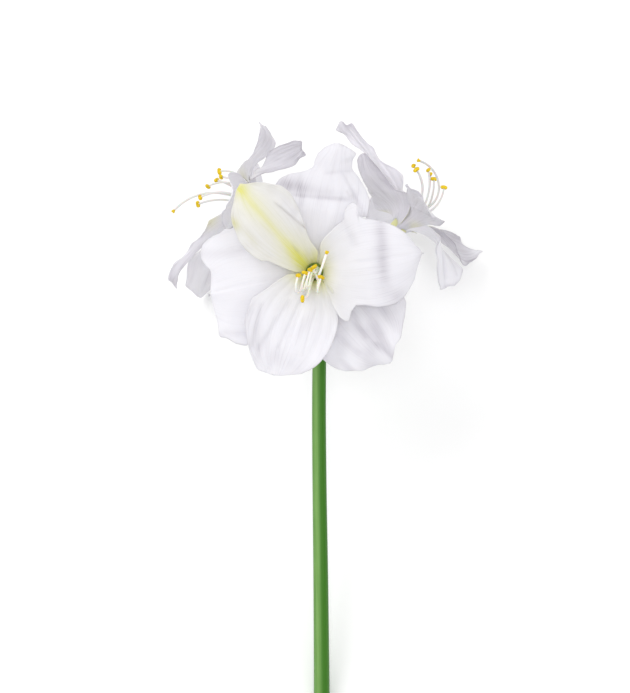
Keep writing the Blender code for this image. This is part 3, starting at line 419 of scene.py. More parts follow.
# Stamens: root direction in degrees, length in millimetres, bends from the axis towards the bloom's sweep at
# the foot, the middle and the tip, and the sideways splay, in degrees. The last of each bloom is its style.
FRONT_STAMENS = (
    (90, 66, (18, 47, -94), -10), (30, 50, (6, 12, -24), -6), (330, 60, (12, 47, -84), -1),
    (270, 60, (14, 39, 0), -10), (150, 66, (15, 54, -94), -19), (210, 62, (12, 42, -94), -11),
    (0, 70, (8, 20, -98), 6))
LEFT_STAMENS = (
    (90, 57, (2, -53, 25), 6), (30, 50, (-22, -30, 8), 5), (330, 66, (-14, -8, 39), 2),
    (270, 73, (-3, -2, 31), -11), (150, 68, (-8, -24, 40), -8), (210, 62, (3, -30, -1), -13),
    (0, 96, (-7, 1, 57), 0))
RIGHT_STAMENS = (
    (90, 66, (-4, 11, 92), 5), (30, 77, (-11, 14, 95), -2), (330, 80, (-19, 12, 47), -8),
    (270, 76, (-12, 6, 49), -7), (150, 64, (-13, -14, 43), 7), (210, 70, (-9, 20, 62), 5),
    (0, 95, (-11, 3, 130), 6))

# Blooms: foot of the tube in the umbel's frame and points of the flower stalk, in millimetres, axis of the
# bloom, the direction its stamens sweep to and how far that swings towards their tips, in degrees, and the
# painted shade along its tepals' margins, deeper on the side blooms, which lie in shade
BLOOMS = {
    "front": {
        "foot": (-5.1, 21.4, 42.0), "axis": (-0.02, 0.03, 1.0), "sweep": 270, "swing": -18, "rim": 0.8,
        "tepals": FRONT_TEPALS, "stamens": FRONT_STAMENS,
        "stalk": ((0, -9, 0), (0, 6, 2), (-2, 16, 10)),
    },
    "left": {
        "foot": (-35.8, 83.5, -25.0), "axis": (-0.93, 0.22, -0.28), "sweep": 270, "swing": 0, "rim": 1.6,
        "tepals": LEFT_TEPALS, "stamens": LEFT_STAMENS,
        "stalk": ((-1.5, -9, -1), (-4, 15, -5), (-8, 44, -11), (-11, 66, -15)),
    },
    "right": {
        "foot": (62.9, 58.3, -25.0), "axis": (0.66, 0.56, -0.50), "sweep": 75, "swing": 0, "rim": 1.8,
        "tepals": RIGHT_TEPALS, "stamens": RIGHT_STAMENS,
        "stalk": ((1.5, -9, -1), (7, 12, -4), (20, 28, -9), (36, 39, -13)),
    },
}

# Grids: rows along a piece and columns across it or sides round it, and how evenly a tepal's columns are
# spaced, where 1 is even and less crowds them towards the margins
TEPAL_ROWS = 84
TEPAL_COLUMNS = 88
EVEN_SHARE = 0.75
TUBE_ROWS = 10
TUBE_SIDES = 48
SCAPE_POINTS = 150
STALK_POINTS = 40
OVARY_POINTS = 24
STEM_SIDES = 72
FILAMENT_POINTS = 56
STYLE_POINTS = 80
THREAD_SIDES = 14
ANTHER_POINTS = 27
ANTHER_SIDES = 20
LOBE_POINTS = 16

# Seeds: a tepal's own, from its number and its bloom's, what its ribs, crumple and creases add to it, and the
# pollen's on each anther
FIRST_SEED, TEPAL_SEED, BLOOM_SEED = 11, 7, 100
RIB_SEED, CRUMPLE_SEED, CREASE_SEED = 50, 90, 130
FIRST_POLLEN_SEED, POLLEN_SEED = 3, 7

# Patterns: streaks and bands of a petal to a grain unit, 1.25 mm and 6.4 mm apart, the pull that draws out
# the streaks of the threads and the scape, and cells to a metre, of 0.7 mm on a petal, 0.5 mm and 3 mm in
# pollen and 0.9 mm in pith
PETAL_STREAKS = (36.0, 2.6, 0.0)
PETAL_BANDS = (7.0, 2.2, 0.0)
THREAD_STREAKS = (5.0, 3.0, 1.0)
SCAPE_STREAKS = (1.0, 0.02, 1.0)
PETAL_CELLS = 1400.0
POLLEN_GRAINS = 2000.0
POLLEN_PATCHES = 320.0
PITH_CELLS = 1100.0

# Settings of the shader nodes that come up often. A colour Mix takes its share in socket 0 and its two
# colours in sockets 6 and 7, and gives the mixed colour in output 2.
ADD_TIMES = {"operation": "MULTIPLY_ADD"}
TIMES = {"operation": "MULTIPLY"}
COLOURS = {"data_type": "RGBA"}

# Studio, in metres: floor, white surroundings, soft lamps as (name, place, size, watts) and what they aim at
FLOOR_REACH = 6.0
FLOOR_DROP = 0.0004
SURROUNDINGS = 0.75
LAMPS = (("key", (-2.1, 1.45, 2.7), 2.4, 45.0), ("fill", (2.2, -0.6, 2.6), 2.6, 12.0),
         ("front", (0.0, -0.72, 3.2), 1.1, 18.0))
LAMPS_AIM = (0.0, 0.12, 0.1)

# Camera: its place before the umbel, in millimetres, its focal length in pixels of the photograph, whose long
# side is the frame's height, and its clipping in metres
CAMERA_AT = (-5.06, -44.6, 2000.0)
FOCAL_PIXELS = 2173.9
PHOTO_HEIGHT = 693
SENSOR = 36.0
CLIP = (0.05, 50.0)


def linear(code):
    """Linear RGB of an sRGB hex code: each channel through the inverse of the sRGB curve."""
    channels = [int(code[k:k + 2], 16) / 255 for k in (0, 2, 4)]
    return tuple(c / 12.92 if c <= 0.04045 else ((c + 0.055) / 1.055) ** 2.4 for c in channels)


def length_setting(name, default, description, most):
    """A length in millimetres that a user can change."""
    return FloatProperty(name=name, description=description + ", in mm", default=default, min=0.0, max=most)


def colour_setting(name, code, description):
    """A colour that a user can change, from its sRGB hex code."""
    return FloatVectorProperty(
        name=name, description=description, subtype="COLOR", size=3, min=0.0, max=1.0, default=linear(code))


class AmaryllisSizes(bpy.types.PropertyGroup):
    """Sizes of the fine detail, in millimetres."""

    tepal_thickness: length_setting("Tepal thickness", 0.8, "Thickness of a tepal between its ribs", 3.0)
    keel_height: length_setting("Keel height", 0.6, "How much thicker a tepal is along its midrib", 3.0)
    rib_height: length_setting("Rib height", 1.0, "Height that each tepal's ribs have a share of", 3.0)
    rib_count: IntProperty(
        name="Ribs on a half", description="Ribs between the midrib and the margin", default=8, min=1, max=14)
    frill_height: length_setting("Frill height", 0.9, "Height of the small waves along a margin", 4.0)
    crumple_height: length_setting("Crumple height", 0.9, "Height of the soft dents in a tepal", 4.0)
    pollen_grain: length_setting("Pollen grain", 0.12, "Height of the pollen on the anthers", 1.0)
    scape_ridge: length_setting("Scape ridge", 0.06, "Height of the fine ridges along the scape", 1.0)


class AmaryllisColours(bpy.types.PropertyGroup):
    """Colours of the flower and its floor."""

    tepal: colour_setting("Tepal", "E5E4E9", "Face of a tepal")
    tepal_back: colour_setting("Tepal back", "E6E4EA", "Back of a tepal")
    # Also the painted lilac-grey shade of hollows, margins, tepals facing away from the light and shaded
    # threads
    vein: colour_setting("Vein", "A39EA8", "Lilac-grey of the veins and hollows")
    throat: colour_setting("Throat", "5F7C28", "Green at the bottom of the throat")
    glow: colour_setting("Glow", "D8D662", "Yellow-green that runs up a midrib")
    filament: colour_setting("Filament", "F6F5EE", "Filaments and style")
    anther: colour_setting("Anther", "EFCF2B", "Anthers and their pollen")
    scape: colour_setting("Scape", "35700E", "Bare skin of the scape and the flower stalks")
    # Pale green that paints a highlight along the scape's lit side, lies evenly on the stalks and rims the
    # pith
    pale_green_and_highlight: colour_setting("Scape wax", "78A358", "Scape and stalks where their wax lies thickest")
    pith: colour_setting("Pith", "BFD09A", "Cut end of the scape")
    floor: colour_setting("Floor", "FEFEFE", "Floor under the stem")


def smooth(x):
    """Ease from 0 to 1, level at both ends."""
    x = np.clip(x, 0.0, 1.0)
    return x * x * (3.0 - 2.0 * x)


def eased(x, span):
    """Ease from 0 to 1 over a span, given as where it starts and how far it runs."""
    return smooth((x - span[0]) / span[1])


def bell(distance, breadth):
    """Bell curve of height 1: the exponential of minus the square of the distance over the breadth."""
    return np.exp(-(distance / breadth) ** 2)


def unit(vectors):
    """Vectors at length 1, along the last axis."""
    vectors = np.asarray(vectors, float)
    return vectors / np.maximum(np.linalg.norm(vectors, axis=-1, keepdims=True), 1e-12)


def circle(sides):
    """Angles of evenly spaced sides round a circle."""
    return np.arange(sides) * 2 * math.pi / sides


def axes_of(axis):
    """Rows: right, up and along, for a bloom that faces along axis, with up as near +Y as it can be."""
    along = unit(axis)
    up = unit(np.array((0.0, 1.0, 0.0)) - along[1] * along)
    return np.stack((np.cross(up, along), up, along))


def resting_turn():
    """Rotation from the umbel's frame to the part's frame: the sideways roll, then the slope of the scape."""
    roll = np.array(((math.cos(ROLL), 0, math.sin(ROLL)), (0, 1, 0), (-math.sin(ROLL), 0, math.cos(ROLL))))
    lean = np.array(((1, 0, 0), (0, math.cos(LEAN), -math.sin(LEAN)), (0, math.sin(LEAN), math.cos(LEAN))))
    return lean @ roll


def laid_down(points):
    """Points in millimetres from the umbel's frame to the part's frame, in metres."""
    return np.asarray(points, float) * MM @ resting_turn().T + np.array(UMBEL)


def bloom_laid_down(points, bloom):
    """Points in millimetres from a bloom's own frame to the part's frame, in metres."""
    return laid_down(points @ axes_of(bloom["axis"]) + np.array(bloom["foot"], float))


def dents(x, y, seed, count=7):
    """Soft uneven relief of height about 1: a sum of sine waves with seeded directions, paces and phases."""
    draw = np.random.default_rng(seed)
    total = np.zeros(np.broadcast(x, y).shape)
    for _ in range(count):
        angle, phase = draw.uniform(0, 2 * math.pi, 2)
        pace = draw.uniform(0.6, 1.6)
        total += np.sin(pace * (math.cos(angle) * x + math.sin(angle) * y) + phase)
    return total / math.sqrt(count)


def half_width(spec, v):
    """Half-width of a plain tepal at fractions v of its length.

    It rises as a power of a sine to the widest place and falls as a power of one minus a power to the tip.
    """
    width, widest = spec["width"], spec["widest"]
    narrow = TUBE_RADIUS * math.pi / 3 * ROOT_SHARE
    rise = narrow + (width - narrow) * np.sin(math.pi / 2 * np.clip(v / widest, 0, 1)) ** RISE_POWER
    fall = width * (1 - np.clip((v - widest) / (1 - widest), 0, 1) ** FALL_POWER) ** spec["tip"]
    return np.maximum(np.where(v < widest, rise, fall), LEAST_WIDTH)


def margin_route(spec, side, steps):
    """Route of one margin in the flat blade, from the tube to the tip, at even steps of its length.

    It gives millimetres across the midrib and fractions of the length along it. It follows the tepal's plain
    half-width up to its first stated point, then its stated points, and a running mean rounds its corners.
    """
    stated = np.array(spec["left" if side < 0 else "right"], float).reshape(-1, 2)
    tip = np.array(spec["point"], float) + (side * LEAST_WIDTH, 0.0)
    until = stated[0, 1] - MARGIN_STEP if len(stated) else tip[1]
    v = np.linspace(TEPAL_START, until, FINE // 4)
    plain = np.stack((side * half_width(spec, v), v), 1)
    route = np.vstack((plain, stated, tip))
    run = np.hypot(np.diff(route[:, 0]), np.diff(route[:, 1]) * spec["length"])
    run = np.concatenate(((0.0,), np.cumsum(run)))
    even = np.linspace(0.0, run[-1], FINE + 1)
    across, along = np.interp(even, run, route[:, 0]), np.interp(even, run, route[:, 1])
    kernel = np.hanning(MARGIN_BLUR + 2)[1:-1]
    kernel = kernel / kernel.sum()
    pad = MARGIN_BLUR // 2
    for values in (across, along):
        before, after = 2 * values[0] - values[pad:0:-1], 2 * values[-1] - values[-2:-pad - 2:-1]
        wide = np.concatenate((before, values, after))
        values[:] = np.convolve(wide, kernel, "valid")
    at = steps * FINE
    return np.interp(at, np.arange(FINE + 1), across), np.interp(at, np.arange(FINE + 1), along)


def flat_blade(spec, r, s):
    """Flat coordinates of a tepal's grid: millimetres across its midrib, fractions of its length along it.

    Row r joins the points at the same share of both margins and of the line between them, which starts as the
    midrib. Across goes straight from that line to the margin with s, and along goes with the square of s.
    """
    left, right = margin_route(spec, -1, r), margin_route(spec, 1, r)
    middle = (0.5 * (left[0] + right[0]) * smooth(r / MIDDLE_SPAN))[:, None]
    ahead = (TEPAL_START + (spec["point"][1] - TEPAL_START) * r)[:, None]
    across = np.where(s[None, :] < 0, left[0][:, None], right[0][:, None])
    along = np.where(s[None, :] < 0, left[1][:, None], right[1][:, None])
    s = np.abs(s[None, :])
    return middle + (across - middle) * s, ahead + (along - ahead) * s ** 2


def tepal(spec, r, s, frill, seed):
    """Grid of points over the middle of one tepal, in the bloom's frame, and its flat coordinates.

    The midrib leans away from the bloom's axis by an angle that is straight between its stops, and the points
    along it are the running sum of that direction. Across the midrib the tepal is an arc: at the tube the arc
    closes round the axis, and outwards it opens to the tepal's own cup. Before it opens, its half-width is
    kept within its sixth of the tube. The margins are raised by a long sine wave, with the small waves of the
    frill on it, and the whole blade twists about its midrib.
    """
    length, width = spec["length"], spec["width"]
    stops = ((0.0, TUBE_LEAN[0]), (TUBE_LENGTH * TUBE_LEAVE / length, TUBE_LEAN[1])) + spec["lean"]
    t = np.linspace(0.0, 1.0, FINE + 1)
    lean = np.radians(np.interp(t, *zip(*stops)))
    turn = np.radians(spec["root"] + (spec["turn"] - spec["root"]) * eased(t, TURNS))
    outward = np.stack((np.cos(turn), np.sin(turn), 0 * turn), 1)
    axis = np.array((0.0, 0.0, 1.0))
    step = np.sin(lean)[:, None] * outward + np.cos(lean)[:, None] * axis
    path = np.cumsum(0.5 * (step[1:] + step[:-1]), 0) * length / FINE
    path = np.vstack((np.zeros(3), path)) + TUBE_RADIUS * outward[0]

    x, v = flat_blade(spec, r, s)
    radius = np.interp(v, t, np.hypot(path[:, 0], path[:, 1]))
    room = radius * math.pi / 3 * SIXTH_SHARE / np.maximum(1 - eased(v, FREES), LEAST_FREE)
    half = len(s) // 2
    side = np.maximum(np.abs(x[:, [0] * half + [-1] * (len(s) - half)]), LEAST_WIDTH)
    x = x * (1 + (side / room) ** BLEND_POWER) ** (-1 / BLEND_POWER)
    mid = np.stack([np.interp(v, t, path[:, k]) for k in range(3)], -1)
    out = np.stack([np.interp(v, t, outward[:, k]) for k in range(3)], -1)
    lean = np.interp(v, t, lean)

    bend = (1 - eased(v, spec["unroll"])) / radius
    bend = np.maximum(bend + spec["cup"] / width * eased(v, CUPS), LEAST_BEND)
    across = np.sin(bend * x) / bend
    inward = (1 - np.cos(bend * x)) / bend
    s = s[None, :]
    phase = np.where(s > 0, spec["phase"][0], spec["phase"][1])
    curl = np.where(s > 0, spec["curl"][0], spec["curl"][1])
    wave = np.sin(2 * math.pi * spec["waves"] * r[:, None] + phase)
    edge = eased(v, RUFFLES) * (1 - eased(r[:, None], CALMS))
    inward = inward + spec["ruffle"] * np.abs(s) ** RUFFLE_POWER * wave * edge
    inward = inward + curl * s ** 2 * eased(v, CURLS)
    small = dents(r[:, None] * length / FRILL_PITCH, np.sign(s) * FRILL_SHIFT, seed)
    inward = inward + frill * np.abs(s) ** FRILL_POWER * small * edge
    inward = inward + (TEPAL_LIFT if spec["inner"] else 0.0)

    twist = (np.radians(spec["twist"]) * eased(v, TWISTS))[..., None]
    face = -np.cos(lean)[..., None] * out + np.sin(lean)[..., None] * axis
    cross = np.cross(axis, out)
    cross, face = np.cos(twist) * cross + np.sin(twist) * face, np.cos(twist) * face - np.sin(twist) * cross
    return mid + cross * across[..., None] + face * inward[..., None], x, v


def stamen_path(bloom, number, start, points):
    """Points along one filament of a bloom or along its style, in the bloom's frame, in millimetres.

    Its direction turns from the bloom's axis towards the sweep by an angle that is straight between the bends
    at its foot, its middle and its tip, and its points are the running sum of that direction. Over its outer
    half the sweep itself turns by the bloom's swing.
    """
    _, length, bends, splay = bloom["stamens"][number]
    t = np.linspace(0.0, 1.0, FINE + 1)
    bend = np.radians(np.interp(t, BEND_STOPS, bends))
    tilt = np.radians(splay) * (1 - SPLAY_LOSS * t)
    turn = np.radians(bloom["sweep"] + bloom["swing"] * eased(t, SWINGS))
    towards = np.stack((np.cos(turn), np.sin(turn), 0 * turn), 1)
    side = np.array((-towards[0, 1], towards[0, 0], 0.0))
    along = np.array((0.0, 0.0, 1.0))
    ahead = (np.cos(bend) * np.cos(tilt))[:, None] * along + (np.cos(bend) * np.sin(tilt))[:, None] * side
    ahead = ahead + np.sin(bend)[:, None] * towards
    run = np.vstack((np.zeros(3), np.cumsum(0.5 * (ahead[1:] + ahead[:-1]), 0) * length / FINE))
    path = run + np.array(start)
    at = np.linspace(0.0, 1.0, points)
    return np.stack([np.interp(at, t, path[:, k]) for k in range(3)], 1)


def spline(points, count):
    """Smooth route through a few points: a Catmull-Rom curve read at even steps of its parameter."""
    p = np.asarray(points, float)
    p = np.vstack((2 * p[0] - p[1], p, 2 * p[-1] - p[-2]))
    u = np.linspace(0, len(points) - 1, count)
    k = np.minimum(u.astype(int), len(points) - 2)
    f = (u - k)[:, None]
    a, b, c, d = p[k], p[k + 1], p[k + 2], p[k + 3]
    return 0.5 * (
        2 * b + (c - a) * f + (2 * a - 5 * b + 4 * c - d) * f ** 2 + (3 * b - a - 3 * c + d) * f ** 3)


def run_along(route):
    """Distance along a route at each of its points: the running sum of its steps."""
    return np.concatenate(((0.0,), np.cumsum(np.linalg.norm(np.diff(route, axis=0), axis=1))))


def stalk_route(bloom):
    """Route and radii of a flower stalk and its ovary, in the umbel's frame, in millimetres."""
    axis = unit(bloom["axis"])
    foot = np.array(bloom["foot"], float)
    neck = foot - axis * (OVARY_LENGTH + NECK_LENGTH)
    stalk = spline(tuple(bloom["stalk"]) + (neck, foot - axis * OVARY_LENGTH), STALK_POINTS)
    u = np.arange(1, OVARY_POINTS + 1) / OVARY_POINTS
    ovary = foot - axis * (OVARY_LENGTH * (1 - u[:, None]) + GAP * u[:, None])
    swell = STALK_RADIUS + (OVARY_RADIUS - STALK_RADIUS) * eased(u, OVARY_SWELLS)
    swell = swell - (OVARY_RADIUS - OVARY_TOP_RADIUS) * eased(u, OVARY_NARROWS)
    return np.vstack((stalk, ovary)), np.concatenate((np.full(STALK_POINTS, STALK_RADIUS), swell))


def tube_rings(path, radii, sides, lobes=1.0):
    """Rings of points round a path, one at each of its points, in the path's own units.

    Each ring's frame is the one before it turned by as little as its direction asks. The radius is the given
    one times lobes, a grid of factors for each ring and side.
    """
    path = np.asarray(path, float)
    ahead = unit(np.gradient(path, axis=0))
    rights = [unit(np.cross(ahead[0], RING_AIM))]
    for direction in ahead[1:]:
        rights.append(unit(rights[-1] - direction * (rights[-1] @ direction)))
    right = np.array(rights)
    up = np.cross(ahead, right)
    angle = circle(sides)
    reach = np.asarray(radii, float)[:, None] * np.ones((1, sides)) * lobes
    out = np.cos(angle)[None, :, None] * right[:, None, :] + np.sin(angle)[None, :, None] * up[:, None, :]
    return path[:, None, :] + out * reach[..., None]


def marks_of(rings, first, second, third):
    """Three marks for each point of a shell, spread over its rings and sides."""
    shape = rings.shape[:2]
    return np.stack([np.broadcast_to(a, shape) for a in (first, second, third)], -1).astype(float)


def outward_rings(rings, *marks):
    """A shell with its rings turned the way that makes its faces point out, by the sign of its volume."""
    middle = rings.mean((0, 1))
    a, b = rings - middle, np.roll(rings, -1, 1) - middle
    volume = np.einsum("ijk,ijk->", np.cross(a[:-1], b[:-1]), a[1:]) + np.einsum(
        "ijk,ijk->", np.cross(b[:-1], b[1:]), a[1:])
    if volume < 0:
        return (rings[:, ::-1],) + tuple(m[:, ::-1] for m in marks)
    return (rings,) + marks


def make_piece(name, shells, materials, node):
    """One object from closed shells, in place of a node.

    A shell is its rings in metres, its grain, its tone and its material's number. The rings are joined by
    quads and closed by a fan from the middle of the first and of the last one. grain and tone are kept as
    vector attributes for the materials to read: grain is the place across the pattern, the place along it and
    the side, and tone is the yellow-green, the depth of the throat or the scape's pale green that paints a
    highlight along one side, and the painted lilac-grey shade.
    """
    points, grains, tones, quads, fans, quad_slots, fan_slots = [], [], [], [], [], [], []
    base = 0
    for rings, grain, tone, number in shells:
        rings, grain, tone = outward_rings(rings, grain, tone)
        count, around = rings.shape[:2]
        for store, values in ((points, rings), (grains, grain), (tones, tone)):
            store += [values.reshape(-1, 3), values[0].mean(0)[None], values[-1].mean(0)[None]]
        i, j = np.meshgrid(np.arange(count - 1), np.arange(around), indexing="ij")
        near, far = i * around + j, i * around + (j + 1) % around
        quads.append(np.stack((near, far, far + around, near + around), -1).reshape(-1, 4) + base)
        k = np.arange(around)
        after = (k + 1) % around
        first, last = count * around, count * around + 1
        end = (count - 1) * around
        fans.append(np.stack((after, k, np.full(around, first)), -1) + base)
        fans.append(np.stack((k + end, after + end, np.full(around, last)), -1) + base)
        quad_slots.append(np.full(len(quads[-1]), number))
        fan_slots.append(np.full(2 * around, number))
        base += count * around + 2
    points, quads, fans = np.concatenate(points), np.concatenate(quads), np.concatenate(fans)
    mesh = bpy.data.meshes.new(name)
    mesh.vertices.add(len(points))
    mesh.vertices.foreach_set("co", points.astype(np.float32).ravel())
    corners = np.concatenate((quads.ravel(), fans.ravel())).astype(np.int32)
    mesh.loops.add(len(corners))
    mesh.loops.foreach_set("vertex_index", corners)
    starts = np.concatenate((np.arange(len(quads)) * 4, len(quads) * 4 + np.arange(len(fans)) * 3))
    mesh.polygons.add(len(starts))
    mesh.polygons.foreach_set("loop_start", starts.astype(np.int32))
    mesh.polygons.foreach_set("material_index", np.concatenate(quad_slots + fan_slots).astype(np.int32))
    mesh.update(calc_edges=True)
    for label, values in (("grain", grains), ("tone", tones)):
        attribute = mesh.attributes.new(label, "FLOAT_VECTOR", "POINT")
        attribute.data.foreach_set("vector", np.concatenate(values).astype(np.float32).ravel())
    mesh.shade_smooth()
    for item in materials:
        mesh.materials.append(item)
    piece = bpy.data.objects.new(name, mesh)
    bpy.context.scene.collection.objects.link(piece)
    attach(piece, "root")
    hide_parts(node)


def fold_marks(fold, length, x, y):
    """Relief in millimetres and painted shade of one fold, which runs straight between two places on the
    blade.

    Without a step it is a bell curve of the distance to its line, with painted shade where it goes down. With
    a step it rises over its line as a hyperbolic tangent and comes back as an exponential, and a painted
    shadow lies at the step's foot.
    """
    (x1, v1), (x2, v2), depth, breadth, step = fold
    ax, ay = x - x1, y - v1 * length
    bx, by = x2 - x1, (v2 - v1) * length
    size = math.hypot(bx, by)
    share = np.clip((ax * bx + ay * by) / size ** 2, 0, 1)
    if not step:
        line = bell(np.hypot(ax - share * bx, ay - share * by), breadth)
        return depth * line, FOLD_PAINTED_SHADE * line if depth < 0 else 0.0
    ends = eased(share, STEP_ENDS) * eased(1 - share, STEP_ENDS)
    ahead = (bx * ay - by * ax) / size
    rise = depth * ends * 0.5 * (1 + np.tanh(ahead / breadth)) * np.exp(-np.abs(ahead) / step)
    # Painted shadow at the foot of the step, under its raised edge
    return rise, STEP_PAINTED_SHADOW * ends * bell(ahead + FOOT_BEFORE * breadth, FOOT_BREADTH * breadth)


def tepal_skin(spec, bloom, sizes, seed, r, s, x, v):
    """Relief of a tepal in millimetres, with the painted shade and the yellow-green that go with it.

    Ribs are seeded dents that change across the blade and hardly along it, the groove is a bell curve on the
    midrib, and crumple and creases are seeded dents. Painted lilac-grey shade lies in the creases and, as a
    bell curve, along the margin, deeper on blooms in shade. Spots are bell curves round their places, which
    add painted shade, and painted light where their grey is below 0, and folds add their own relief and
    painted shade.
    """
    y = v * spec["length"]
    vein = x / np.maximum(half_width(spec, v), VEIN_LEAST * spec["width"])
    opened = eased(v, RIBS_RISE) * (1 - (1 - RIBS_LEFT) * eased(r, RIBS_FALL))
    ribs = dents(vein * sizes.rib_count * RIB_PACE[0], v * RIB_PACE[1], seed + RIB_SEED)
    relief = spec["ribs"] * sizes.rib_height * ribs * opened * (1 - np.abs(s) ** RIB_POWER)
    relief = relief - GROOVE_DEPTH * bell(x, GROOVE_WIDTH) * eased(v, GROOVE_RISES) * opened
    crumple = dents(x / CRUMPLE_PITCH[0], y / CRUMPLE_PITCH[1], seed + CRUMPLE_SEED)
    relief = relief + spec["crumple"] * sizes.crumple_height * crumple * eased(v, CRUMPLE_RISES)
    crease = dents(x / CREASE_PITCH[0], y / CREASE_PITCH[1], seed + CREASE_SEED, CREASE_WAVES)
    crease = crease * spec["crease"] * eased(v, CREASE_RISES)
    relief = relief + CREASE_HEIGHT * crease
    side = np.where(s < 0, np.abs(x[:, :1]), np.abs(x[:, -1:]))
    rim = np.minimum((1 - np.abs(s)) * np.maximum(side, RIM_LEAST), (1 - r) * spec["length"])
    # Painted shade: lilac-grey along the margin, deeper on blooms in shade, and in the creases
    grey = bloom["rim"] * bell(rim, RIM_WIDTH) * eased(v, RIM_RISES) + np.maximum(-crease, 0.0)
    green = np.zeros(relief.shape)
    # Spots add yellow-green and painted shade, which is painted light where it is below 0
    for x1, v1, reach, run, spot_green, spot_painted_shade_and_light in spec["spots"]:
        spot = bell(x - x1, reach) * bell(v - v1, run)
        green, grey = green + spot_green * spot, grey + spot_painted_shade_and_light * spot
    for fold in spec["folds"]:
        fold_relief, fold_painted_shade = fold_marks(fold, spec["length"], x, y)
        relief, grey = relief + fold_relief, grey + fold_painted_shade
    return relief, grey, green, vein


def tepal_tone(spec, x, v, side, grey, green):
    """Yellow-green, depth of the throat and painted lilac-grey shade of a tepal, over both its faces.

    The streak is a bell curve across the midrib that narrows and fades outwards, on a fainter one that is
    wider. On the face the throat's glow is a sum of two falling eases, and on the back it falls in a line.
    """
    middle, strength = spec["streak"]
    breadth = STREAK_WIDTH + STREAK_WIDER * (1 - eased(v, STREAK_NARROWS))
    fading = STREAK_LEFT + (1 - STREAK_LEFT) * (1 - eased(v, STREAK_FALLS))
    streak = strength * bell(x - middle, breadth) * fading
    streak = streak + HALO_SHARE * strength * bell(x - middle, HALO_WIDTH * breadth)
    face = spec["glow"] * sum(share * (1 - eased(v, span)) for share, span in GLOW_FALLS)
    back = BACK_GLOW - BACK_FALL * (v - BACK_START)
    glow = np.where(side > 0, face, back)
    green = np.clip(np.maximum(glow, streak) + spec["stain"] + green, 0, 1)
    return green, (1 - eased(v, DEEP_FALLS)) * side, spec["grey"] + grey


def grid_normal(grid):
    """Unit normals of a grid of points: the cross product of its steps along and across."""
    return unit(np.cross(np.gradient(grid, axis=0), np.gradient(grid, axis=1)))


def both_faces(front, back):
    """One ring for each row of a blade: across its front and back again across its back."""
    return np.concatenate((front, back[:, -2:0:-1]), 1)


def tepal_shell(spec, bloom, seed, sizes):
    """One tepal as a closed shell in metres, with its marks.

    The middle surface is moved along its own normal by the skin's relief. Half of the thickness goes to each
    side, and the keel to the back. It thins to nothing over the last columns, so that the margin is round.
    """
    spec = {**PLAIN, **spec}
    rows = np.linspace(0.0, 1.0, TEPAL_ROWS + 1)
    even = np.linspace(-1.0, 1.0, TEPAL_COLUMNS + 1)
    columns = EVEN_SHARE * even + (1 - EVEN_SHARE) * np.sin(math.pi / 2 * even)
    grid, x, v = tepal(spec, rows, columns, sizes.frill_height, seed)
    r, s = rows[:, None], columns[None, :]
    relief, grey, green, vein = tepal_skin(spec, bloom, sizes, seed, r, s, x, v)

    grid = grid + grid_normal(grid) * relief[..., None]
    normal = grid_normal(grid)
    keel = sizes.keel_height * bell(x, KEEL_WIDTH) * (1 - eased(r, KEEL_FALLS))
    margin = np.sqrt(np.clip((1 - np.abs(s)) / ROUND_SIDE, 0, 1))
    margin = margin * np.sqrt(np.clip((1 - r) / ROUND_TIP, TIP_LEAST, 1))
    thick = (sizes.tepal_thickness * margin)[..., None] * normal
    rings = both_faces(grid + 0.5 * thick, grid - 0.5 * thick - normal * (keel * margin)[..., None])

    side = both_faces(np.ones((1, len(even))), np.zeros((1, len(even))))
    side[0, [0, len(even) - 1]] = 0.5
    vein, x, v, grey, green = (both_faces(a, a) for a in (vein, x, v, grey, green))
    across = vein * spec["width"] / GRAIN_UNIT + GRAIN_SHIFT * (seed % GRAIN_SETS)
    tone = marks_of(rings, *tepal_tone(spec, x, v, side, grey, green))
    return bloom_laid_down(rings, bloom), marks_of(rings, across, v, side), tone, 0


def tube_shell(bloom):
    """The perianth's tube as a closed shell in metres: its outside, run back down by its inside.

    The radius grows evenly from foot to mouth, swells at three edges where the outer tepals join it, and the
    wall is the distance between the outside and the inside.
    """
    z = np.linspace(0.0, TUBE_LENGTH, TUBE_ROWS + 1)
    angle = circle(TUBE_SIDES)[None, :]
    thinned = TUBE_THINNED * eased(z / TUBE_LENGTH, TUBE_NARROWS)
    outer = TUBE_RADIUS + TUBE_FLARE * z + TUBE_OUTSIDE * (1 - thinned)
    inner = TUBE_RADIUS + TUBE_FLARE * z - TUBE_INSIDE
    ridges = TUBE_RIDGE * np.cos(3 * (angle - math.radians(bloom["tepals"][1]["root"])))
    radius = np.vstack((outer[:, None] + ridges, inner[::-1, None] + 0 * angle))
    height = np.concatenate((z, z[::-1]))[:, None] + 0 * angle
    rings = np.stack((radius * np.cos(angle), radius * np.sin(angle), height), -1)
    inside = (np.arange(len(rings)) > TUBE_ROWS)[:, None]
    depth = TUBE_DEPTH * np.where(inside, 1.0, eased(height / TUBE_LENGTH, TUBE_DEEPENS))
    tone = marks_of(rings, np.where(inside, 1.0, TUBE_GLOW), depth, TUBE_GREY)
    return bloom_laid_down(rings, bloom), marks_of(rings, 0.0, height / TUBE_GRAIN, 0.0), tone, 0


def set_sockets(tree, node, sockets):
    """Sets a node's sockets, by name or place: another node's socket is linked in, and a value is set."""
    for key, value in sockets.items():
        if isinstance(value, bpy.types.NodeSocket):
            tree.links.new(value, node.inputs[key])
        else:
            node.inputs[key].default_value = value


def shade_node(tree, kind, sockets=None, settings=None):
    """Adds one shader node with its settings, links and values, and gives its outputs."""
    node = tree.nodes.new("ShaderNode" + kind)
    for key, value in (settings or {}).items():
        setattr(node, key, value)
    set_sockets(tree, node, sockets or {})
    return node.outputs


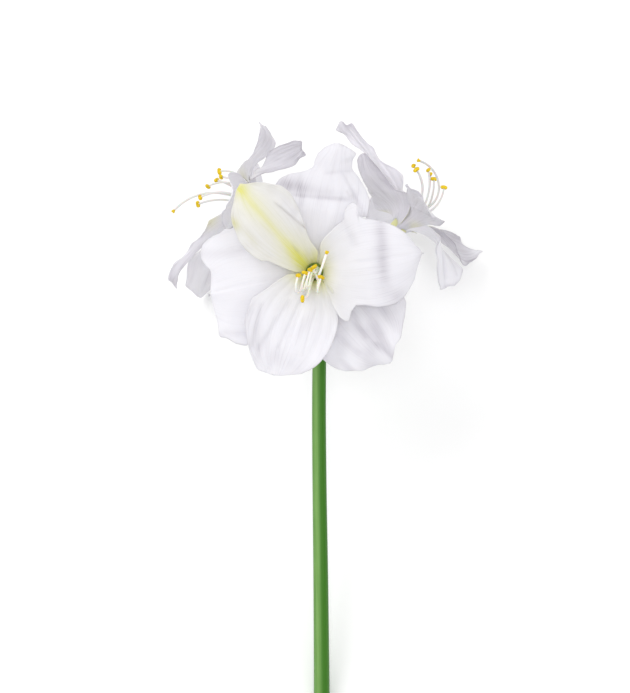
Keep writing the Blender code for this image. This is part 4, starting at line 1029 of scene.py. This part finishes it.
def start_material(name):
    """A new material with its node tree and its Principled shader."""
    made = bpy.data.materials.new(name)
    made.use_nodes = True
    return made, made.node_tree, made.node_tree.nodes["Principled BSDF"]


def rgba(colour, scale=(1.0, 1.0, 1.0), lift=0.0):
    """A colour with its alpha, each channel scaled and lifted, and no brighter than 1."""
    return tuple(min(1.0, c * s + lift) for c, s in zip(colour[:], scale)) + (1.0,)


def petal_material(colours):
    """Living petal: soft, faintly waxy skin of long cells, which lets light through.

    The eye sees fine silk-like streaks from base to tip, lilac-grey painted shade in the hollows, along the
    margins and over tepals that face away from the light, and yellow-green that runs out of the throat along
    the midrib. The skin's cells are a few hundredths of a millimetre across and are drawn at 0.7 mm so that
    they show.
    """
    made, tree, skin = start_material("petal_soft_streaked")
    grain = shade_node(tree, "Attribute", settings={"attribute_name": "grain"})["Vector"]
    tone = shade_node(tree, "Attribute", settings={"attribute_name": "tone"})["Vector"]
    face = shade_node(tree, "SeparateXYZ", {0: grain})["Z"]
    tones = shade_node(tree, "SeparateXYZ", {0: tone})
    stretch = shade_node(tree, "VectorMath", {0: grain, 1: PETAL_STREAKS}, TIMES)[0]
    pattern = {"Vector": stretch, "Scale": 1.0, "Detail": 3.0, "Roughness": 0.6}
    streaks = shade_node(tree, "TexNoise", pattern)["Fac"]
    stretch = shade_node(tree, "VectorMath", {0: grain, 1: PETAL_BANDS}, TIMES)[0]
    bands = shade_node(tree, "TexNoise", {"Vector": stretch, "Scale": 1.0})["Fac"]
    veins = shade_node(tree, "MapRange", {"Value": streaks, "From Min": 0.52, "From Max": 0.67})[0]
    wide = shade_node(tree, "MapRange", {"Value": bands, "From Min": 0.45, "From Max": 0.75})[0]
    marks = shade_node(tree, "Math", {0: veins, 1: 0.09, 2: 0.15}, ADD_TIMES)[0]
    marks = shade_node(tree, "Math", {0: wide, 1: 0.05, 2: marks}, ADD_TIMES)[0]
    # tone Z is painted lilac-grey shade: it deepens the streaks and bands and mixes towards the vein colour
    marks = shade_node(tree, "Math", {0: marks, 1: tones["Z"]}, TIMES)[0]
    marks = shade_node(tree, "Math", {0: veins, 1: 0.045, 2: marks}, ADD_TIMES)[0]
    back = rgba(colours.tepal_back)
    colour = shade_node(tree, "Mix", {0: face, 6: back, 7: rgba(colours.tepal)}, COLOURS)[2]
    colour = shade_node(tree, "Mix", {0: marks, 6: colour, 7: rgba(colours.vein)}, COLOURS)[2]
    glow = shade_node(tree, "Math", {0: streaks, 1: 1.3, 2: 0.35}, ADD_TIMES)[0]
    glow = shade_node(tree, "Math", {0: tones["X"], 1: glow}, TIMES)[0]
    colour = shade_node(tree, "Mix", {0: glow, 6: colour, 7: rgba(colours.glow)}, COLOURS)[2]
    colour = shade_node(tree, "Mix", {0: tones["Y"], 6: colour, 7: rgba(colours.throat)}, COLOURS)[2]
    place = shade_node(tree, "TexCoord")["Object"]
    cells = shade_node(tree, "TexNoise", {"Vector": place, "Scale": PETAL_CELLS, "Detail": 1.0})["Fac"]
    height = shade_node(tree, "Math", {0: cells, 1: 0.25, 2: streaks}, ADD_TIMES)[0]
    set_sockets(tree, skin, {
        "Base Color": colour,
        "Roughness": shade_node(tree, "MapRange", {"Value": streaks, "To Min": 0.42, "To Max": 0.62})[0],
        "Normal": shade_node(tree, "Bump", {"Height": height, "Strength": 0.35, "Distance": 0.0006})[0],
        "IOR": 1.4,
        "Specular IOR Level": 0.3,
        "Sheen Weight": 0.15,
        "Sheen Roughness": 0.5,
        "Subsurface Weight": 0.35,
        "Subsurface Radius": (1.0, 0.95, 0.9),
        "Subsurface Scale": 0.0015,
    })
    return made


def thread_material(colours):
    """Filament and style: smooth, wet-looking plant thread, white with a breath of green towards its foot."""
    made, tree, skin = start_material("filament_waxy_white")
    grain = shade_node(tree, "Attribute", settings={"attribute_name": "grain"})["Vector"]
    tone = shade_node(tree, "Attribute", settings={"attribute_name": "tone"})["Vector"]
    along = shade_node(tree, "SeparateXYZ", {0: grain})["Y"]
    grey = shade_node(tree, "SeparateXYZ", {0: tone})["Z"]
    foot = shade_node(tree, "MapRange", {"Value": along, "From Max": 0.45, "To Min": 0.35, "To Max": 0.0})[0]
    # Painted grey shade from tone Z, on the threads of the side blooms, which lie in shade
    grey = shade_node(tree, "Math", {0: grey, 1: 0.45}, TIMES)[0]
    colour = shade_node(tree, "Mix", {0: grey, 6: rgba(colours.filament), 7: rgba(colours.vein)}, COLOURS)[2]
    colour = shade_node(tree, "Mix", {0: foot, 6: colour, 7: rgba(colours.glow)}, COLOURS)[2]
    stretch = shade_node(tree, "VectorMath", {0: grain, 1: THREAD_STREAKS}, TIMES)[0]
    lines = shade_node(tree, "TexNoise", {"Vector": stretch, "Scale": 1.0})["Fac"]
    set_sockets(tree, skin, {
        "Base Color": colour,
        "Roughness": 0.38,
        "Normal": shade_node(tree, "Bump", {"Height": lines, "Strength": 0.3, "Distance": 0.0003})[0],
        "Subsurface Weight": 0.3,
        "Subsurface Scale": 0.001,
    })
    return made


def pollen_material(colours):
    """Anther dusted with pollen: matt golden yellow grains.

    Real grains are under a tenth of a millimetre across and are drawn at 0.5 mm so that they show.
    """
    made, tree, skin = start_material("anther_pollen_powdery")
    place = shade_node(tree, "TexCoord")["Object"]
    grains = shade_node(tree, "TexVoronoi", {"Vector": place, "Scale": POLLEN_GRAINS})["Distance"]
    patches = shade_node(tree, "TexNoise", {"Vector": place, "Scale": POLLEN_PATCHES})["Fac"]
    patches = shade_node(tree, "MapRange", {"Value": patches, "From Min": 0.35, "From Max": 0.65})[0]
    deep = rgba(colours.anther, (0.72, 0.66, 0.4))
    pale = rgba(colours.anther, (1.05, 1.1, 1.2), 0.05)
    colour = shade_node(tree, "Mix", {0: patches, 6: deep, 7: rgba(colours.anther)}, COLOURS)[2]
    speck = shade_node(tree, "MapRange", {"Value": grains, "From Max": 0.6, "To Min": 0.6, "To Max": 0.0})[0]
    relief = {"Height": grains, "Strength": 0.5, "Distance": 0.0003}
    set_sockets(tree, skin, {
        "Base Color": shade_node(tree, "Mix", {0: speck, 6: colour, 7: pale}, COLOURS)[2],
        "Roughness": 0.85,
        "Normal": shade_node(tree, "Bump", relief, {"invert": True})[0],
        "Specular IOR Level": 0.2,
    })
    return made


def scape_material(colours):
    """Scape skin: smooth deep green plant skin, with a painted highlight: a pale green band along its lit
    side.

    The eye sees that painted pale band, fine length streaks about 1.2 mm wide, and a satin skin that holds
    one long highlight.
    """
    made, tree, skin = start_material("scape_green_painted_highlight")
    grain = shade_node(tree, "Attribute", settings={"attribute_name": "grain"})["Vector"]
    tone = shade_node(tree, "Attribute", settings={"attribute_name": "tone"})["Vector"]
    tones = shade_node(tree, "SeparateXYZ", {0: tone})
    stretch = shade_node(tree, "VectorMath", {0: grain, 1: SCAPE_STREAKS}, TIMES)[0]
    pattern = {"Vector": stretch, "Scale": 0.85, "Detail": 3.0, "Roughness": 0.55}
    streaks = shade_node(tree, "TexNoise", pattern)["Fac"]
    patches = shade_node(tree, "TexNoise", {"Vector": grain, "Scale": 0.05})["Fac"]
    lines = shade_node(tree, "MapRange", {"Value": streaks, "From Min": 0.35, "From Max": 0.65})[0]
    # Share of pale green: the painted highlight along the scape's lit side from tone Y, broken by patches and
    # streaks
    pale_green_and_highlight = shade_node(tree, "Math", {0: patches, 1: 0.3, 2: 0.65}, ADD_TIMES)[0]
    pale_green_and_highlight = shade_node(tree, "Math", {0: lines, 1: 0.3, 2: pale_green_and_highlight}, ADD_TIMES)[0]
    pale_green_and_highlight = shade_node(tree, "Math", {0: pale_green_and_highlight, 1: tones["Y"]}, TIMES)[0]
    pale_green_and_highlight = shade_node(tree, "Math", {0: lines, 1: 0.06, 2: pale_green_and_highlight}, ADD_TIMES)[0]
    colour = shade_node(tree, "Mix", {0: pale_green_and_highlight, 6: rgba(colours.scape), 7: rgba(colours.pale_green_and_highlight)}, COLOURS)[2]
    set_sockets(tree, skin, {
        "Base Color": shade_node(tree, "Mix", {0: tones["X"], 6: colour, 7: rgba(colours.glow)}, COLOURS)[2],
        "Roughness": shade_node(tree, "MapRange", {"Value": streaks, "To Min": 0.34, "To Max": 0.5})[0],
        "Normal": shade_node(tree, "Bump", {"Height": streaks, "Strength": 0.25, "Distance": 0.0005})[0],
        "Specular IOR Level": 0.18,
        "Coat Weight": 0.12,
        "Coat Roughness": 0.3,
        "Subsurface Weight": 0.08,
        "Subsurface Scale": 0.002,
    })
    return made


def pith_material(colours):
    """Cut scape: wet pale pith of open cells about 0.9 mm across, greener towards the skin."""
    made, tree, skin = start_material("scape_pith_cut")
    grain = shade_node(tree, "Attribute", settings={"attribute_name": "grain"})["Vector"]
    off_middle = shade_node(tree, "SeparateXYZ", {0: grain})["Z"]
    place = shade_node(tree, "TexCoord")["Object"]
    cells = shade_node(tree, "TexVoronoi", {"Vector": place, "Scale": PITH_CELLS})["Distance"]
    limits = {"Value": cells, "From Min": 0.15, "From Max": 0.5, "To Min": 0.45, "To Max": 0.0}
    pores = shade_node(tree, "MapRange", limits)[0]
    rim = shade_node(tree, "MapRange", {"Value": off_middle, "From Min": 0.75, "To Max": 0.7})[0]
    dark = rgba(colours.pith, (0.55, 0.55, 0.55))
    colour = shade_node(tree, "Mix", {0: pores, 6: rgba(colours.pith), 7: dark}, COLOURS)[2]
    set_sockets(tree, skin, {
        "Base Color": shade_node(tree, "Mix", {0: rim, 6: colour, 7: rgba(colours.pale_green_and_highlight)}, COLOURS)[2],
        "Roughness": 0.4,
        "Normal": shade_node(tree, "Bump", {"Height": cells, "Strength": 0.5, "Distance": 0.0004})[0],
    })
    return made


def floor_material(colours):
    """Matt white paper with no gloss, so that only soft shadows show on it."""
    made, tree, paper = start_material("paper_floor_matt")
    set_sockets(tree, paper, {"Base Color": rgba(colours.floor), "Roughness": 0.9})
    return made


def throat_ring(bloom):
    """The ring that a bloom's filaments stand on, as a closed shell in metres: four circles, joined."""
    outer = TUBE_RADIUS - TUBE_INSIDE - RING_GAP
    heights = np.array((RING_BOTTOM, RING_BOTTOM, RING_TOP, RING_TOP))[:, None]
    reach = np.array((outer - RING_WALL, outer, outer, outer - RING_WALL))[:, None] + TUBE_FLARE * heights
    angle = circle(TUBE_SIDES)
    rings = np.stack((reach * np.cos(angle), reach * np.sin(angle), heights + 0 * angle), -1)
    grain = marks_of(rings, np.cos(angle)[None, :], 0.0, np.sin(angle)[None, :])
    return bloom_laid_down(rings, bloom), grain, marks_of(rings, 0.0, 0.0, 0.0), 0


def thread_shell(path, radii, bloom, sides=THREAD_SIDES, number=0):
    """A filament, style or stigma lobe as a closed shell in metres: rings along its path, and its marks."""
    rings = tube_rings(path, radii, sides)
    angle = circle(sides)
    along = np.linspace(0.0, 1.0, len(path))[:, None]
    grain = marks_of(rings, np.cos(angle)[None, :], along, np.sin(angle)[None, :])
    # Tone Z: painted grey shade, from the bloom's margin shade beyond the front bloom's
    return bloom_laid_down(rings, bloom), grain, marks_of(rings, 0.0, 0.0, bloom["rim"] - THREAD_SHADE_FROM), number


def anther_shell(tip, ahead, number, bloom, grain_height):
    """An anther as a closed shell in metres: a short bowed barrel with rounded ends and a furrow each side.

    Its radius is the square root of one minus the fourth power of the place along it, less a furrow as a
    power of the cosine of the angle, and pollen stands on it as seeded soft dents.
    """
    turn = number * ANTHER_TURN
    cross = unit(np.cross(ahead, unit((math.cos(turn), math.sin(turn), ANTHER_TILT))))
    u = np.sin(np.linspace(-0.5, 0.5, ANTHER_POINTS) * math.pi) * 0.5
    line = tip + np.outer(u, cross) * ANTHER_LENGTH
    line = line - np.outer(u ** 2 * ANTHER_LENGTH * ANTHER_BOW, ahead)
    radii = ANTHER_RADIUS * np.clip(1 - (2 * u) ** 4, ANTHER_POLE, 1) ** 0.5
    u, angle = u[:, None], circle(ANTHER_SIDES)[None, :]
    furrow = 1 - ANTHER_FURROW * np.cos(angle) ** FURROW_POWER
    round_pace, along_pace = POLLEN_PACE
    seed = POLLEN_SEED * number + FIRST_POLLEN_SEED
    pollen = dents(np.cos(angle) * round_pace, u * along_pace + np.sin(angle) * round_pace, seed)
    rings = tube_rings(line, radii, ANTHER_SIDES, furrow * (1 + grain_height / ANTHER_RADIUS * pollen))
    grain = marks_of(rings, np.cos(angle), u, np.sin(angle))
    return bloom_laid_down(rings, bloom), grain, marks_of(rings, 0.0, 0.0, 0.0), 0


def stigma_lobes(tip, ahead, bloom):
    """The three lobes of a stigma as closed shells in metres.

    A lobe goes ahead along the style by a quadratic of the share of its length, and outwards by a power of
    that share. Its radius is the square root of one minus a fourth power, so that both ends are round.
    """
    side = unit(np.cross(ahead, STIGMA_AIM))
    other = np.cross(ahead, side)
    u = np.linspace(0.0, 1.0, LOBE_POINTS)[:, None]
    swell = STIGMA_RADIUS * np.sqrt(np.clip(1 - (2 * u[:, 0] - 1) ** 4, STIGMA_POLE, 1))
    shells = []
    for angle in circle(3):
        out = math.cos(angle) * side + math.sin(angle) * other
        onward = STIGMA_AHEAD[0] * u + STIGMA_AHEAD[1] * u ** 2
        lobe = tip + STIGMA_LOBE * (out * (STIGMA_OPENS * u ** STIGMA_POWER) + ahead * onward)
        shells.append(thread_shell(lobe, swell, bloom, ANTHER_SIDES, 1))
    return shells


def scape_shells(sizes):
    """The scape with its crown and rounded rim, and the pith of its cut, as closed shells in metres.

    The scape's radius carries fine ridges, a sum of cosines of the angle, and its painted highlight, a pale
    green along its lit side, is a bell curve of the cosine of the angle.
    """
    route = np.vstack((spline(SCAPE_ROUTE, SCAPE_POINTS), [(0.0, height, 0.0) for height in CROWN_HEIGHTS]))
    at = np.linspace(0.0, len(SCAPE_RADII) - 1, SCAPE_POINTS)
    radii = np.concatenate((np.interp(at, range(len(SCAPE_RADII)), SCAPE_RADII), CROWN_RADII))
    ahead = unit(route[1] - route[0])
    route = np.vstack((route[0] + RIM_ROUND * np.outer(RIM_ALONG, ahead), route[1:]))
    radii = np.concatenate((radii[0] - RIM_ROUND * np.array(RIM_OFF), radii[1:]))
    angle, widest = circle(STEM_SIDES)[None, :], SCAPE_RADII[0]
    ridges = sum(share * np.cos(count * angle + phase) for count, share, phase in SCAPE_RIDGES)
    rings = tube_rings(route, radii, STEM_SIDES, 1 + sizes.scape_ridge / widest * ridges)
    grain = marks_of(rings, widest * np.cos(angle), run_along(route)[:, None], widest * np.sin(angle))
    # Painted highlight: pale green along the side of the scape where the key light falls
    pale_green_and_highlight = bell(np.cos(angle) - PAINTED_HIGHLIGHT_MIDDLE, PAINTED_HIGHLIGHT_BREADTH)
    shares = np.array(PITH_SHARES)
    cut = tube_rings(route[0] + np.outer(PITH_STEPS, ahead), radii[1] * shares, STEM_SIDES)
    return [
        (laid_down(rings), grain, marks_of(rings, 0.0, pale_green_and_highlight, 0.0), 0),
        (laid_down(cut), marks_of(cut, 0.0, 0.0, shares[:, None]), marks_of(cut, 0.0, 0.0, 0.0), 1)]


def stalk_shell(bloom):
    """A flower stalk and its ovary as a closed shell in metres: an ovary has three sides, from a cosine."""
    path, radii = stalk_route(bloom)
    angle = circle(STEM_SIDES // 2)[None, :]
    swollen = smooth((radii - STALK_RADIUS) / (OVARY_RADIUS - STALK_RADIUS))[:, None]
    rings = tube_rings(path, radii, STEM_SIDES // 2, 1 + OVARY_CORNERS * swollen * np.cos(3 * angle))
    run = run_along(path)[:, None] + STALK_GRAIN
    grain = marks_of(rings, STALK_RADIUS * np.cos(angle), run, STALK_RADIUS * np.sin(angle))
    return laid_down(rings), grain, marks_of(rings, OVARY_GLOW * swollen, STALK_WAX, 0.0), 0


def build_stem(sizes, colours):
    """The scape, its crown and cut, the three flower stalks and their ovaries."""
    shells = scape_shells(sizes) + [stalk_shell(bloom) for bloom in BLOOMS.values()]
    make_piece("scape_fine", shells, [scape_material(colours), pith_material(colours)], "stem")


def build_perianths(sizes, colours):
    """The tube and six tepals of each bloom."""
    skin = petal_material(colours)
    for order, (name, bloom) in enumerate(BLOOMS.items()):
        shells = [tube_shell(bloom)]
        for number, spec in enumerate(bloom["tepals"]):
            seed = FIRST_SEED + TEPAL_SEED * number + BLOOM_SEED * order
            shells.append(tepal_shell(spec, bloom, seed, sizes))
        make_piece("petals_" + name, shells, [skin], "perianth_" + name)


def build_stamens(sizes, colours):
    """The six filaments of each bloom on their throat ring, and their anthers."""
    thread, pollen = thread_material(colours), pollen_material(colours)
    radii = np.linspace(1.0, FILAMENT_TIP_SHARE, FILAMENT_POINTS) * FILAMENT_RADIUS
    for name, bloom in BLOOMS.items():
        filaments, anthers = [throat_ring(bloom)], []
        for number, (root, *_) in enumerate(bloom["stamens"][:-1]):
            angle = math.radians(root)
            start = (FILAMENT_START * math.cos(angle), FILAMENT_START * math.sin(angle), FILAMENT_HEIGHT)
            path = stamen_path(bloom, number, start, FILAMENT_POINTS)
            filaments.append(thread_shell(path, radii, bloom))
            ahead = unit(path[-1] - path[-2])
            anthers.append(anther_shell(path[-1], ahead, number, bloom, sizes.pollen_grain))
        make_piece("filaments_" + name, filaments, [thread], "stamens_" + name)
        make_piece("anthers_" + name, anthers, [pollen], "stamens_" + name)


def build_pistils(colours):
    """The style of each bloom, from its ovary up, with its three-lobed stigma."""
    materials = [thread_material(colours), pollen_material(colours)]
    for name, bloom in BLOOMS.items():
        path = stamen_path(bloom, -1, (0, 0, FILAMENT_HEIGHT), STYLE_POINTS)
        path = np.vstack(((0, 0, GAP), (0, 0, FILAMENT_HEIGHT / 2), path))
        shells = [thread_shell(path, np.full(len(path), STYLE_RADIUS), bloom)]
        shells += stigma_lobes(path[-1], unit(path[-1] - path[-2]), bloom)
        make_piece("pistil_fine_" + name, shells, materials, "pistil_" + name)


def build_stage(colours):
    """Floor, lights and camera."""
    scene = bpy.context.scene
    mesh = bpy.data.meshes.new("floor")
    square = ((-1, -1), (1, -1), (1, 1), (-1, 1))
    mesh.from_pydata([(x * FLOOR_REACH, y * FLOOR_REACH, -FLOOR_DROP) for x, y in square], [], [(0, 1, 2, 3)])
    mesh.materials.append(floor_material(colours))
    floor = bpy.data.objects.new("floor", mesh)
    scene.collection.objects.link(floor)

    scene.world = bpy.data.worlds.new("studio")
    scene.world.use_nodes = True
    tree = scene.world.node_tree
    set_sockets(tree, tree.nodes["Background"], {"Color": (1.0, 1.0, 1.0, 1.0), "Strength": SURROUNDINGS})
    for name, place, size, power in LAMPS:
        lamp = bpy.data.lights.new(name, "AREA")
        lamp.energy, lamp.size = power, size
        holder = bpy.data.objects.new(name, lamp)
        holder.location = place
        holder.rotation_euler = (Vector(place) - Vector(LAMPS_AIM)).to_track_quat("Z", "Y").to_euler()
        scene.collection.objects.link(holder)

    lens = bpy.data.cameras.new("camera")
    lens.sensor_fit = "AUTO"
    lens.sensor_width = SENSOR
    lens.lens = SENSOR * FOCAL_PIXELS / PHOTO_HEIGHT
    lens.clip_start, lens.clip_end = CLIP
    camera = bpy.data.objects.new("camera", lens)
    camera.matrix_world = Matrix.Translation(laid_down(CAMERA_AT)) @ Matrix(resting_turn().tolist()).to_4x4()
    scene.collection.objects.link(camera)
    scene.camera = camera
    scene.view_settings.view_transform = "Standard"


class AMARYLLIS_OT_stem(bpy.types.Operator):
    """Build the scape, the flower stalks and the ovaries in place of the stem's node"""

    bl_idname = "amaryllis.stem"
    bl_label = "Stem"

    def execute(self, context):
        build_stem(context.scene.amaryllis_sizes, context.scene.amaryllis_colours)
        return {"FINISHED"}


class AMARYLLIS_OT_perianths(bpy.types.Operator):
    """Build the tubes and tepals in place of the perianths' nodes"""

    bl_idname = "amaryllis.perianths"
    bl_label = "Perianths"

    def execute(self, context):
        build_perianths(context.scene.amaryllis_sizes, context.scene.amaryllis_colours)
        return {"FINISHED"}


class AMARYLLIS_OT_stamens(bpy.types.Operator):
    """Build the filaments and anthers in place of the stamens' nodes"""

    bl_idname = "amaryllis.stamens"
    bl_label = "Stamens"

    def execute(self, context):
        build_stamens(context.scene.amaryllis_sizes, context.scene.amaryllis_colours)
        return {"FINISHED"}


class AMARYLLIS_OT_pistils(bpy.types.Operator):
    """Build the styles and stigmas in place of the pistils' nodes"""

    bl_idname = "amaryllis.pistils"
    bl_label = "Pistils"

    def execute(self, context):
        build_pistils(context.scene.amaryllis_colours)
        return {"FINISHED"}


class AMARYLLIS_OT_stage(bpy.types.Operator):
    """Build the floor, lights and camera"""

    bl_idname = "amaryllis.stage"
    bl_label = "Stage"

    def execute(self, context):
        build_stage(context.scene.amaryllis_colours)
        return {"FINISHED"}


class AMARYLLIS_PT_panel(bpy.types.Panel):
    """Settings and steps of the amaryllis stem"""

    bl_idname = "AMARYLLIS_PT_panel"
    bl_label = "Amaryllis"
    bl_space_type = "VIEW_3D"
    bl_region_type = "UI"
    bl_category = "Amaryllis"

    def draw(self, context):
        for settings in (context.scene.amaryllis_sizes, context.scene.amaryllis_colours):
            column = self.layout.column()
            for name in settings.__annotations__:
                column.prop(settings, name)
        for operator in OPERATORS:
            self.layout.operator(operator.bl_idname)


OPERATORS = (AMARYLLIS_OT_stem, AMARYLLIS_OT_perianths, AMARYLLIS_OT_stamens, AMARYLLIS_OT_pistils,
             AMARYLLIS_OT_stage)
CLASSES = (AmaryllisSizes, AmaryllisColours, *OPERATORS, AMARYLLIS_PT_panel)


def register():
    """Registers the classes and hangs the settings on the scene."""
    for item in CLASSES:
        bpy.utils.register_class(item)
    bpy.types.Scene.amaryllis_sizes = PointerProperty(type=AmaryllisSizes)
    bpy.types.Scene.amaryllis_colours = PointerProperty(type=AmaryllisColours)


def unregister():
    """Takes the settings off the scene and removes the classes."""
    del bpy.types.Scene.amaryllis_sizes
    del bpy.types.Scene.amaryllis_colours
    for item in reversed(CLASSES):
        bpy.utils.unregister_class(item)


def main():
    """Builds every piece."""
    register()
    bpy.ops.amaryllis.stem()
    bpy.ops.amaryllis.perianths()
    bpy.ops.amaryllis.stamens()
    bpy.ops.amaryllis.pistils()
    bpy.ops.amaryllis.stage()


if __name__ == "__main__":
    main()
